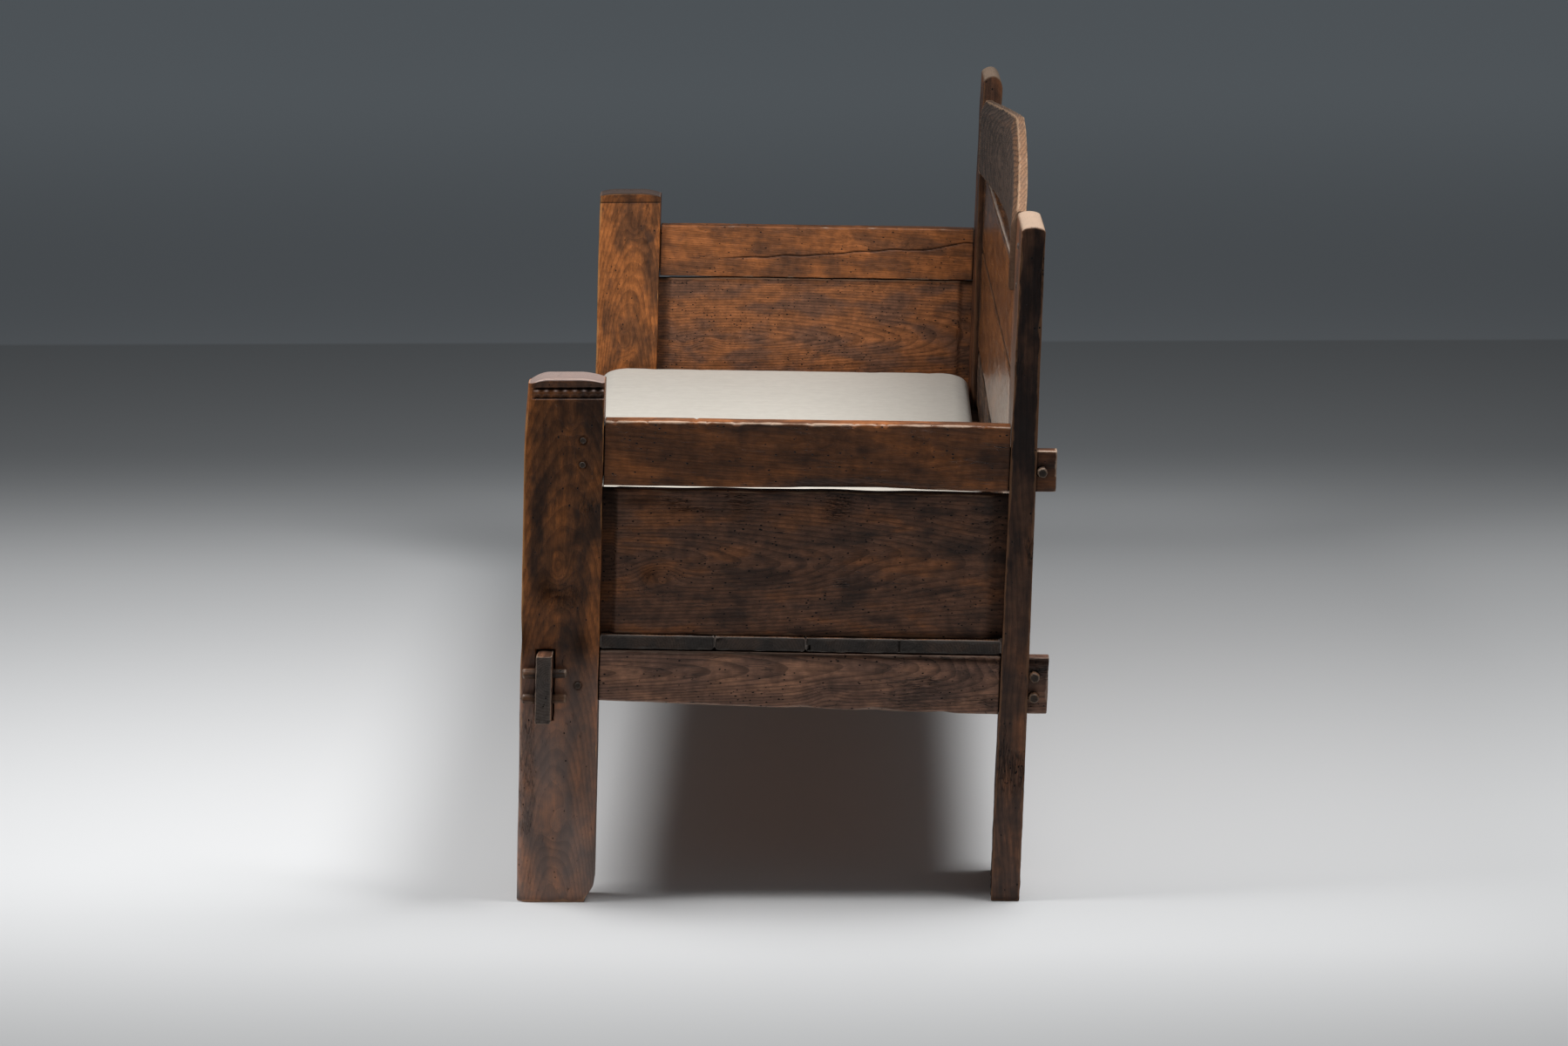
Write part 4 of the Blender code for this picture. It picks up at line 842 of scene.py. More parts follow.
ARM_OAK = oak_finish(
    "arm_rail_oak", gloss=0.40, holes=0.55, ring_depth=0.25, cloudy=0.55,
    deep=(0.051, 0.023, 0.013), body=(0.132, 0.050, 0.020), warm=(0.259, 0.088, 0.026),
    worn=(0.620, 0.440, 0.320), raw=(0.100, 0.080, 0.065),
)
LOWER_OAK = oak_finish(
    "lower_rail_oak", gloss=0.50, holes=1.2, ring_depth=0.60, checks=0.9, cloudy=0.5,
    deep=(0.053, 0.030, 0.022), body=(0.169, 0.085, 0.055), warm=(0.312, 0.150, 0.086),
    worn=(0.360, 0.240, 0.180), raw=(0.090, 0.070, 0.060),
)


def front_shoulder(z):
    """How far back the front post's rear edge stands at height z."""
    return FRONT_Y + POST_SPAN + RAKE * z


def rear_shoulder(z):
    """How far back the rear post's front face stands at height z."""
    return REAR_FOOT_FRONT + (RAKE + REAR_TAPER) * z


def rail_place(side, low_line, run):
    """Sets a side rail in the bench: a runs back from the front post, b rises from the sloping low line."""
    def place(points):
        a, b, c = points.T
        z = low_line(front_shoulder(0.5) + a) + b
        share = np.clip(a / run, 0, 1)
        past = np.clip(a - run, 0, None) + np.clip(a, None, 0)
        y = (1 - share) * front_shoulder(z) + share * rear_shoulder(z) + past
        return np.stack([side * c, y, low_line(y) + b], axis=-1)
    return place


def rail_stations(side, run, end):
    """Stations of a rail between the posts, closer where its section steps at either shoulder."""
    return paces(
        (-FRONT_TONGUE, 0.004), (-0.0001, 0.0005), (0.0004, SIDE_PACES[side]), (run - 0.0012, 0.0012),
        (run - 0.0003, 0.0004), (run + 0.0001, 0.0015), (end, 0),
    )


def rail_faces(faces, run):
    """The two faces of a rail: its own between the posts, its tenons' beyond them."""
    def thick(a):
        body = (a > 0) & (a < run)
        return np.where(body, faces[0], TENON_X[0]), np.where(body, faces[1], TENON_X[1])
    return thick


def key_bores(skin, run, bores):
    """Sinks the key pegs' bores into both faces of a rear tenon."""
    bored = sum(np.hypot(skin.a - run - back, skin.b - up) < KEY_BORE for back, up in bores)
    return bored * (skin.show | skin.inner)


def joint_dirt(skin, run):
    """Dark lines where a rail meets the posts."""
    return ridge(skin.a, 0.0, JOINT_HALF) + ridge(skin.a, run, JOINT_HALF)


def arm_rail(side, word):
    """One arm rail with a short tongue in the front post and a long tenon, set low, through the rear one."""
    end = ARM_RUN + rear_thickness(0.57) + REAR_REACH - TENON_TRIM

    def width(a):
        top = np.where(a < ARM_RUN, ARM_DEPTH - 0.0012 * wander(a, 0.09, 41), ARM_TENON_DEPTH)
        return np.where(a < 0, 0.012, 0), np.where(a < 0, 0.075, top)

    def radii(a):
        plain = 0.0014 + 0.0016 * wander(a, 0.02, 42)
        wane = 0.0115 * (side > 0) * between(a, *WANE_SPAN)
        wane = wane * (0.8 + 0.4 * wander(a, 0.03, 43))
        chips = 0.0045 * np.clip(wander(a, 0.007, 44) - 0.74, 0, 1) * 4
        top = 0.0030 + 0.0012 * wander(a, 0.03, 45)
        return np.stack([plain, top, top + chips, plain + wane], axis=-1)

    def crack(skin):
        line = 0.0245 + 0.060 * skin.a + 0.006 * ramp(skin.a, 0.44, 0.52)
        line = line + 0.005 * (wander(skin.a, 0.03, 49) - 0.5)
        return ridge(skin.b, line, ARM_SPLIT_HALF, 4) * ramp(skin.a, ARM_SPLIT, ARM_SPLIT + 0.08) * skin.inner

    def relief(skin):
        key = key_bores(skin, ARM_RUN, (ARM_KEY,))
        wane = ridge(skin.b, 0.0, 0.009) * between(skin.a, *WANE_MARK_SPAN) * skin.show
        split = crack(skin) * (side < 0)
        nick = 0.0015 * spot(skin, *ARM_NICK)
        depth = worked(skin, 46, 0.0007, 0.00015) + KEY_BORE_DEPTH * key + nick + ARM_SPLIT_DEPTH * split
        patches = (0.045, 0.55) if side > 0 else (0.026, 0.50)
        blots = ramp(noise_at(skin.at, patches[0], 48, 1.6), patches[1], 0.75)
        tone_and_painted_light = 0.28 - 0.30 * blots * (skin.show + 1.6 * skin.inner) + 0.36 * skin.inner
        # Painted light: the top face gets a lighter tone, as lit by the lamps above.
        tone_and_painted_light = tone_and_painted_light + 0.25 * (skin.out[:, 1] > FACING) - 0.15 * wane - 0.5 * (skin.a > ARM_RUN + 0.03)
        behind = (skin.a > ARM_RUN) & (skin.a < ARM_RUN + 0.036)
        grime_and_shade = np.clip(key + 0.9 * joint_dirt(skin, ARM_RUN) + 0.5 * behind, 0, 1)
        sound = np.maximum(ramp(skin.c, 0.890, 0.882), (skin.b < 0.02) * (1 - wane))
        return depth + 0.0012 * wane * noise_at(skin.at, 0.004, 47), {
            "tone_and_painted_light": tone_and_painted_light, "grime_and_shade": np.maximum(grime_and_shade, split), "torn": 0.8 * wane,
            "arris": skin.arris + 0.0006 + 0.002 * sound,
        }

    def figure(skin):
        knots = ((0.16, 0.045, 0.012, 0.004), (0.33, 0.060, 0.016, 0.006), (0.43, 0.055, 0.012, 0.006))
        return grown(skin, 14.0 + side, (0.085, ARM_FACES[1] - 0.020), (-0.06, -0.05), knots)

    rail = timber(
        f"arm_rail_skin_{word}", rail_stations(side, ARM_RUN, end), width,
        rail_faces(ARM_FACES, ARM_RUN), radii, (52, 14),
        rail_place(side, lambda y: ARM_LOW_LEVEL + RAIL_DROP * y, ARM_RUN), relief, figure, ARM_OAK,
    )
    fit(rail, f"arm_rail_{word}", "dark_oak")


def lower_rail(side, word):
    """One lower side rail, deeper towards the rear, with its rear tenon at nearly full depth."""
    gain = (LOWER_DEPTHS[1] - LOWER_DEPTHS[0]) / LOWER_RUN
    end = LOWER_RUN + rear_thickness(0.3) + REAR_REACH - TENON_TRIM

    def low_line(y):
        return LOWER_TOP_LEVEL + RAIL_DROP * y - LOWER_DEPTHS[0] - gain * (y - front_shoulder(0.33))

    def width(a):
        body = (a > 0) & (a < LOWER_RUN)
        depth = LOWER_DEPTHS[0] + gain * a
        return np.where(body, 0.0025 * wander(a, 0.03, 51) ** 2, 0.002), depth - np.where(body, 0.0004, 0.002)

    def radii(a):
        plain = 0.0018 + 0.0020 * wander(a, 0.02, 52)
        under = 0.0022 + 0.0045 * wander(a, 0.035, 53) ** 2
        return np.stack([plain, plain * 0.5, plain * 0.5, under], axis=-1)

    def relief(skin):
        keys = key_bores(skin, LOWER_RUN, LOWER_KEYS)
        beam = ridge(skin.b, 0.0725, 0.004)
        return worked(skin, 54, 0.0009, 0.0003) + KEY_BORE_DEPTH * keys, {
            "tone_and_painted_light": 0.42 - 0.20 * ramp(skin.a, 0.24, 0.42) - 0.20 * (skin.a > LOWER_RUN),
            "grime_and_shade": keys + 0.9 * joint_dirt(skin, LOWER_RUN) + 0.8 * beam,
            "torn": skin.show * ramp(skin.a, 0.34, 0.42) * ramp(noise_at(skin.at, 0.02, 55, 3.0), 0.40, 0.60),
        }

    def figure(skin):
        knots = ((0.30, 0.018, 0.014, 0.010), (0.56, 0.075, 0.040, 0.020))
        return grown(skin, 19.0 + side, (0.040, LOWER_FACES[1] - 0.016), (0.05, -0.06), knots)

    rail = timber(
        f"lower_rail_skin_{word}", rail_stations(side, LOWER_RUN, end), width,
        rail_faces(LOWER_FACES, LOWER_RUN), radii, (48, 14), rail_place(side, low_line, LOWER_RUN), relief,
        figure, LOWER_OAK,
    )
    fit(rail, f"lower_side_rail_{word}", "brown_oak")


for side, word in ENDS:
    arm_rail(side, word)
    lower_rail(side, word)

# End panels
# One board under each arm, thinned at both ends into tongues that run in the posts' grooves. It stands on
# the seat planks a little short of the arm rail, which leaves the long slit under the arm.
PANEL_IN, PANEL_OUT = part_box("end_panel_right")[0].x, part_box("end_panel_right")[1].x
PANEL_TALL = ARM_LOW_LEVEL - 0.004 - SEAT_LEVEL - FIT
PANEL_TONGUE = 0.007
PANEL_LIFT = 0.0025
PANEL_PACES = {1: 0.0019, -1: 0.0028}
PANEL_KNOT = (0.076, 0.078)
PANEL_SCARS = (
    (0.176, 0.178, 0.020, 0.014), (0.305, 0.175, 0.020, 0.018), (0.312, 0.072, 0.010, 0.006),
    (0.095, 0.178, 0.020, 0.006), (0.115, 0.168, 0.025, 0.004),
)
PANEL_INK = ((0.062, 0.080, 0.012, 0.014), (0.046, 0.178, 0.030, 0.007))
PANEL_OAK = oak_finish(
    "end_panel_oak", gloss=0.45, holes=1.1, ring=0.0045, ring_depth=0.52, cloudy=0.65,
    deep=(0.051, 0.025, 0.016), body=(0.140, 0.062, 0.034), warm=(0.261, 0.094, 0.032),
    worn=(0.300, 0.170, 0.100), raw=(0.100, 0.080, 0.065),
)


def end_panel(side, word):
    """One end panel: a runs back from the front post, b rises from the seat, c is the distance from mid
    bench."""
    run = LOWER_RUN

    def width(a):
        lift = PANEL_LIFT * (side < 0) * ramp(a, 0.03, 0.13)
        return 0.0006 * wander(a, 0.04, 61), PANEL_TALL + lift - 0.0016 * (side > 0) * wander(a, 0.05, 62)

    def thick(a):
        outer = np.maximum(ramp(a, 0.020, 0.013), ramp(a, run - 0.027, run - 0.008))
        inner = np.maximum(ramp(a, 0.022, 0.014), ramp(a, run - 0.022, run - 0.014))
        return PANEL_IN + 0.004 * inner, PANEL_OUT - 0.0055 * outer

    def radii(a):
        plain = 0.0012 + 0.0010 * wander(a, 0.02, 63)
        top = 0.0010 + (side > 0) * (0.0006 + 0.0030 * wander(a, 0.03, 64) ** 2)
        return np.stack([plain, plain, top, plain], axis=-1)

    def relief(skin):
        scars = 0 * skin.a
        for scar in PANEL_SCARS:
            scars = np.maximum(scars, spot(skin, *scar, 4) * skin.show)
        depth = worked(skin, 65, 0.0008, 0.0002) + 0.0014 * scars * noise_at(skin.at, 0.0022, 66, 7.0)
        # Painted shade: darker where the panel runs into the posts, along its foot on the seat, and just under
        # the arm rail.
        shade = np.maximum(ramp(skin.a, 0.020, 0.010), 0.75 * ramp(skin.a, run - 0.028, run - 0.004))
        low = ridge(skin.b, 0.0, 0.010) * ramp(skin.a, 0.0, 0.5)
        under_arm_shade = ridge(skin.b, PANEL_TALL, 0.006)
        inky = np.maximum(*(spot(skin, *stain) for stain in PANEL_INK)) * skin.show
        blots = ramp(noise_at(skin.at, 0.05, 67, 2.0), 0.45, 0.75)
        tone_and_painted_light = 0.10 + (0.22 * ramp(skin.a, 0.16, 0.03) - 0.25 * blots) * skin.show + 0.45 * skin.inner
        return depth, {
            "tone_and_painted_light": tone_and_painted_light - 0.25 * spot(skin, *PANEL_KNOT, 0.022, 0.014),
            "grime_and_shade": 0.55 * shade + 0.7 * low + 0.6 * inky + 0.5 * under_arm_shade, "torn": scars,
        }

    def figure(skin):
        knots = ((*PANEL_KNOT, 0.016, 0.022), (0.30, 0.072, 0.010, 0.003))
        return grown(skin, 24.0 + side, (0.096, PANEL_OUT - 0.006), (0.015, -0.115), knots)

    stations = paces((-PANEL_TONGUE, PANEL_PACES[side]), (run + PANEL_TONGUE, 0))
    panel = timber(
        f"end_panel_skin_{word}", stations, width, thick, radii, (100, 8),
        rail_place(side, lambda y: SEAT_LEVEL + FIT + RAIL_DROP * y, run), relief, figure, PANEL_OAK,
    )
    fit(panel, f"end_panel_{word}", "brown_oak")


for side, word in ENDS:
    end_panel(side, word)

# Front and rear seat rails
# The long rails under the seat's edges. The front rail's tenons pass through the front posts and stand out
# at both ends, where two key pegs cross each of them; the rear rail is housed in the rear posts.
FRONT_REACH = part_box("front_seat_rail")[1].x
FRONT_KEY_X = 0.91755
SEAT_RAILS = {
    "front_seat_rail": (FRONT_REACH, POST_IN - FIT, 0.026, 0.096, 0.002, FRONT_Y + 0.020, (0.0310, 0.0650)),
    "rear_seat_rail": (0.7597, 0.7590, 0.028, 0.095, FIT, REAR_MIDDLE - 0.014, ()),
}
SEAT_RAIL_BORE = 0.0066
SEAT_RAIL_OAK = oak_finish(
    "seat_rail_oak", gloss=0.48, holes=0.55, ring_depth=0.5, checks=0.8, raw_rings=0.35, cloudy=0.6,
    deep=(0.036, 0.018, 0.012), body=(0.130, 0.060, 0.034), warm=(0.250, 0.105, 0.048),
    worn=(0.40, 0.27, 0.19), raw=(0.11, 0.092, 0.080),
)


def both_ways(half):
    """Stations from mid bench outwards, repeated on the other side."""
    return np.concatenate([-half[:0:-1], half])


def seat_rail(name, reach, body_reach, thickness, depth, cheek, face, keys):
    """A long rail: a runs along the bench, b rises from its low edge, c runs forward through the
    thickness."""
    def width(a):
        body = np.abs(a) < body_reach
        return np.where(body, 0.0012 * wander(a, 0.06, 71), cheek), depth - np.where(body, 0.0002, cheek)

    def thick(a):
        inset = np.where(np.abs(a) < body_reach, 0, cheek)
        return inset, thickness - inset

    def radii(a):
        plain = 0.0018 + 0.0022 * wander(a, 0.03, 72)
        broken = plain + 0.003 * (np.abs(a) > body_reach) * wander(a, 0.006, 73)
        return np.stack([broken, plain * 0.6, broken, broken], axis=-1)

    def relief(skin):
        out_a = np.abs(skin.a)
        drilled = sum(np.hypot(out_a - FRONT_KEY_X, skin.b - key_b) < SEAT_RAIL_BORE for key_b in keys)
        drilled = drilled * (skin.show | skin.inner)
        end_rough = ramp(out_a, reach - 0.006, reach) * noise_at(skin.at, 0.0035, 75)
        past = out_a > body_reach
        return worked(skin, 74, 0.0008) + KEY_BORE_DEPTH * drilled + 0.0014 * end_rough, {
            "tone_and_painted_light": 0.22 - 0.25 * past,
            "grime_and_shade": drilled + 0.55 * past * ramp(out_a, 0.918, 0.908),
            "torn": 0.5 * past * end_rough,
        }

    def figure(skin):
        knots = ((0.3, 0.05, 0.02, 0.012),)
        return grown(skin, 29.0 + thickness * 100, (0.05, thickness - 0.030), (0.01, 0.008), knots)

    def place(points):
        a, b, c = points.T
        z = LOWER_TOP_LEVEL - depth + RAIL_DROP * face + b
        y = face + RAKE * z + thickness - c
        return np.stack([a, y, z + RAIL_DROP * (y - face)], axis=-1)

    half = paces(
        (0.0, 0.0085), (0.80, 0.0030), (body_reach - 0.0003, 0.0004), (body_reach + 0.0001, 0.0013),
        (reach, 0),
    )
    rail = timber(
        name + "_skin", both_ways(half), width, thick, radii, (52, 14), place, relief, figure, SEAT_RAIL_OAK
    )
    fit(rail, name, "dark_oak")


for name, facts in SEAT_RAILS.items():
    seat_rail(name, *facts)

# Seat planks
# Three thick planks run the whole length under the cushion, notched round the posts. Their sawn ends show,
# rough and grey, between each end panel and the lower rail.
SEAT_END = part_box("seat_plank_middle")[1].x
JOINTS = (POST_SPAN + 0.150, POST_SPAN + 0.269)
NOTCH_GAP = 0.0006
PLANKS = {
    "seat_plank_front": (0.009, JOINTS[0] - FIT / 2, POST_SPAN + NOTCH_GAP, None, POST_IN - NOTCH_GAP),
    "seat_plank_middle": (JOINTS[0] + FIT / 2, JOINTS[1] - FIT / 2, None, None, 2.0),
    "seat_plank_rear": (
        JOINTS[1] + FIT / 2, REAR_MIDDLE - FRONT_Y + 0.013, None,
        REAR_FOOT_FRONT - FRONT_Y + REAR_TAPER * 0.345 - NOTCH_GAP, REAR_IN - NOTCH_GAP,
    ),
}
PLANK_COLUMN = 0.0024
KNOT_HOLE = (0.0070, 0.0065, 0.0034)
END_CRACK, END_CRACK_HALF = 0.165, 0.0008
BROKEN_CORNER = 0.006
PLANK_OAK = oak_finish(
    "seat_plank_oak", gloss=0.55, holes=0.30, ring_depth=0.6, raw_rings=0.25,
    deep=(0.036, 0.020, 0.014), body=(0.130, 0.068, 0.040), warm=(0.240, 0.115, 0.058),
    worn=(0.40, 0.34, 0.30), raw=(0.050, 0.044, 0.040),
)


def seat_plank(number, name, low, high, notch_low, notch_high, notch_at):
    """One plank: a runs along the bench, b back from the front posts' front line, c up through the plank."""
    def width(a):
        notched = np.abs(a) > notch_at
        return np.where(notched, notch_low or low, low), np.where(notched, notch_high or high, high)

    def thick(a):
        return 0 * a, SEAT_THICK + 0 * a

    def radii(a):
        near_end = ramp(np.abs(a), SEAT_END - 0.020, SEAT_END)
        plain = 0.0012 + 0.0008 * wander(a, 0.05, 81 + number) + 0.0016 * near_end
        return np.stack([plain + 0.0012 * near_end, plain + 0.0012 * near_end, plain, plain], axis=-1)

    def relief(skin):
        on_end = np.abs(skin.out[:, 0]) > 0.4
        uneven = noise_at(skin.at, 0.012, 84 + number, 9.0)
        bottom = skin.inner * ramp(np.abs(skin.a), SEAT_END - 0.012, SEAT_END)
        hole = (skin.b - JOINTS[1] < KNOT_HOLE[0]) & (np.abs(skin.c - KNOT_HOLE[1]) < KNOT_HOLE[2])
        hole = (number == 2) * on_end * hole
        cracked = ridge(skin.b, high - END_CRACK, END_CRACK_HALF) * (number == 2) * on_end
        broken = ridge(skin.b, low, BROKEN_CORNER) * ridge(skin.c, SEAT_THICK, BROKEN_CORNER)
        broken = broken * (number == 1) * on_end
        depth = worked(skin, 83 + number, 0.0005) + 0.0018 * uneven * bottom
        depth = depth + 0.0012 * on_end * noise_at(skin.at, 0.004, 85 + number)
        seam = ramp(np.minimum(skin.b - low, high - skin.b), 0.0035, 0.0005)
        return depth + 0.006 * hole + 0.0016 * cracked + 0.005 * broken, {
            "tone_and_painted_light": 0.25 - 0.2 * on_end + 0.9 * (skin.out[:, 2] < -0.5),
            "grime_and_shade": hole + 0.9 * cracked + 0.8 * broken + 0.8 * on_end * seam,
            "torn": 0.4 * on_end * uneven,
        }

    def figure(skin):
        knots = ((0.4, (low + high) / 2, 0.03, 0.015),)
        return grown(skin, 34.0 + number, ((low + high) / 2, -0.02), (0.01, 0.006), knots)

    def place(points):
        a, b, c = points.T
        z = SEAT_LEVEL - SEAT_THICK + RAIL_DROP * (FRONT_Y + RAKE * 0.35 + b) + c
        return np.stack([a, FRONT_Y + RAKE * z + b, z], axis=-1)

    jog = notch_at if notch_at < 1 else 0.85
    half = paces(
        (0.0, 0.020), (jog - 0.0004, 0.0004), (jog + 0.0002, 0.0040), (SEAT_END - 0.014, 0.0016),
        (SEAT_END, 0),
    )
    plank = timber(
        name + "_skin", both_ways(half), width, thick, radii, (round((high - low) / PLANK_COLUMN), 9), place,
        relief, figure, PLANK_OAK, ends=(0.0012, 0.0012),
    )
    fit(plank, name, "warm_oak")


for number, (name, facts) in enumerate(PLANKS.items()):
    seat_plank(number, name, *facts)

# Back boards
# Three boards stand one on another between the rear posts: a rough dark one behind the cushion, a wide one
# polished by backs, and one under the crest. Their joints run slightly downhill to the far end.
BOARD_END = REAR_IN - FIT
BOARD_THICK = 0.020
BOARD_SETBACK = 0.003
BOARD_TONGUE = 0.012
TONGUE_SHOULDER, TONGUE_CHEEK = 0.003, 0.0045
BOARD_COLUMN = 0.0032
SEAT_AT_BACK = SEAT_LEVEL + RAIL_DROP * (REAR_MIDDLE - 0.007 + RAKE * 0.35) + FIT
ROUGH_BOARD = oak_finish(
    "rough_board_oak", gloss=0.70, holes=0.5, ring_depth=0.7,
    deep=(0.026, 0.016, 0.012), body=(0.090, 0.052, 0.036), warm=(0.180, 0.096, 0.054),
    worn=(0.25, 0.16, 0.11), raw=(0.10, 0.08, 0.065),
)
WAXED_BOARD = oak_finish(
    "waxed_board_oak", gloss=0.20, holes=0.35, ring=0.0038, ring_depth=0.45, cloudy=0.6, raw_rings=0.3,
    deep=(0.034, 0.014, 0.008), body=(0.105, 0.041, 0.016), warm=(0.220, 0.084, 0.028),
    worn=(0.36, 0.16, 0.07), raw=(0.55, 0.46, 0.38),
)
BACK_BOARDS = {
    "back_bottom_board": ((SEAT_AT_BACK, SEAT_AT_BACK), (0.452, 0.452), ROUGH_BOARD, "rough_oak"),
    "back_lower_board": ((0.4523, 0.4523), (0.618, 0.648), WAXED_BOARD, "warm_oak"),
    "back_middle_board": ((0.6183, 0.6483), (0.744, 0.790), WAXED_BOARD, "warm_oak"),
}


def sloped(heights, a):
    """Height at a of a joint that runs straight between its heights at the left and right posts."""
    return heights[0] + (heights[1] - heights[0]) * (a + BOARD_END) / (2 * BOARD_END)


def board_stations(tongue):
    """Stations of a board between the rear posts, with a tongue so long in either of them."""
    return both_ways(paces(
        (0.0, 0.0050), (BOARD_END - 0.0004, 0.0004), (BOARD_END + 0.0004, 0.0040), (BOARD_END + tongue, 0)
    ))


def back_board(number, name, foot, head, finish, slot_name):
    """One back board: a runs along the bench, b rises from its foot, c runs forward through the thickness."""
    rough = slot_name == "rough_oak"

    def width(a):
        tongue = TONGUE_SHOULDER * (np.abs(a) > BOARD_END)
        top = sloped(head, a) - sloped(foot, a) - 0.0006 * wander(a, 0.1, 92)
        return 0.0004 * wander(a, 0.2, 91 + number) + tongue, top - tongue

    def thick(a):
        tongue = TONGUE_CHEEK * (np.abs(a) > BOARD_END)
        return tongue, BOARD_THICK - tongue

    def radii(a):
        plain = 0.0016 + 0.0018 * wander(a, 0.04, 93 + number)
        return np.stack([plain, plain, plain + 0.0012, plain + 0.0012], axis=-1)

    def relief(skin):
        depth = worked(skin, 94 + number, 0.0024 if rough else 0.0008, 0.0005 if rough else 0.00012)
        top = sloped(head, skin.a) - sloped(foot, skin.a)
        seam = ridge(np.minimum(skin.b, top - skin.b), 0.0, 0.0040) * (skin.out[:, 2] > 0)
        corner = ridge(np.abs(skin.a), BOARD_END, 0.005)
        # Painted highlight: a pale strip along the front of the middle board's top face, kept clear of the
        # seam's darkening.
        highlight_ledge = (number == 2) * (skin.out[:, 1] > 0.5)
        return depth + 0.0020 * seam, {
            "tone_and_painted_light": 0.30 + 0.10 * (number == 1) - 0.1 * corner,
            "grime_and_shade": np.clip(seam + 0.7 * corner, 0, 1) * (1 - highlight_ledge),
            "torn": rough * ramp(noise_at(skin.at, 0.04, 95, 2.0), 0.45, 0.7),
            "end_grain_and_highlight": np.maximum(highlight_ledge * ramp(skin.c, BOARD_THICK - 0.005, BOARD_THICK - 0.003), skin.end),
        }

    def figure(skin):
        knots = ((0.22, 0.07, 0.018, 0.012), (-0.35, 0.09, 0.022, 0.015), (0.60, 0.05, 0.012, 0.010))
        return grown(skin, 41.0 + 3 * number, (0.07, -0.012), (0.02, 0.012), knots)

    def place(points):
        a, b, c = points.T
        z = sloped(foot, a) + b
        y = REAR_MIDDLE + BOARD_SETBACK + RAKE * z + BOARD_THICK / 2 - c
        return np.stack([a, y, z - RAKE * (y - REAR_MIDDLE - RAKE * z)], axis=-1)

    tall = (sum(head) - sum(foot)) / 2
    board = timber(
        name + "_skin", board_stations(BOARD_TONGUE), width, thick, radii, (round(tall / BOARD_COLUMN), 7),
        place, relief, figure, finish,
    )
    fit(board, name, slot_name)


for number, (name, facts) in enumerate(BACK_BOARDS.items()):
    back_board(number, name, *facts)

# Crest
# The back's top board: a shallow gable, bowed to the rear between ends that stand proud of the posts, with
# a bevelled front margin and a low edge that rises off the board below. Its tenons are pegged in the posts.
CREST_THICK = 0.020
CREST_ADVANCE = (0.008, 0.013)
CREST_BOW = 0.022
CREST_BOW_POWER = 1.5
CREST_FEET = (0.7443, 0.7903)
CREST_ARCH = 0.011
CREST_ENDS = (0.867, 0.896)
CREST_PEAK = 0.931
CREST_MARGIN = 0.019
CREST_MARGIN_DEPTH = 0.008
CREST_TONGUE = 0.030
CREST_TONGUE_TRIM = (0.008, 0.024)
CREST_TONGUE_THICK = (0.0008, 0.0082)
CREST_OAK = oak_finish(
    "crest_oak", gloss=0.50, holes=0.05, ring=0.0048, ring_depth=0.65, cloudy=0.3, raw_rings=0.1,
    deep=(0.045, 0.029, 0.021), body=(0.084, 0.053, 0.038), warm=(0.167, 0.080, 0.038),
    worn=(0.360, 0.220, 0.130), raw=(0.336, 0.213, 0.139),
)


def crest_out(a):
    """0 at mid bench, 1 at either post."""
    return np.clip(np.abs(a) / BOARD_END, 0, 1)


def crest_low(a):
    """Low edge: the joint's slope plus a shallow arch, 1 - out^2."""
    return sloped(CREST_FEET, a) + CREST_ARCH * (1 - crest_out(a) ** 2)


def crest_tall(a):
    """From the low edge to the top one, which runs straight from each end up to the peak at mid bench."""
    top = CREST_PEAK + (np.where(a > 0, CREST_ENDS[1], CREST_ENDS[0]) - CREST_PEAK) * crest_out(a)
    return top - crest_low(a)


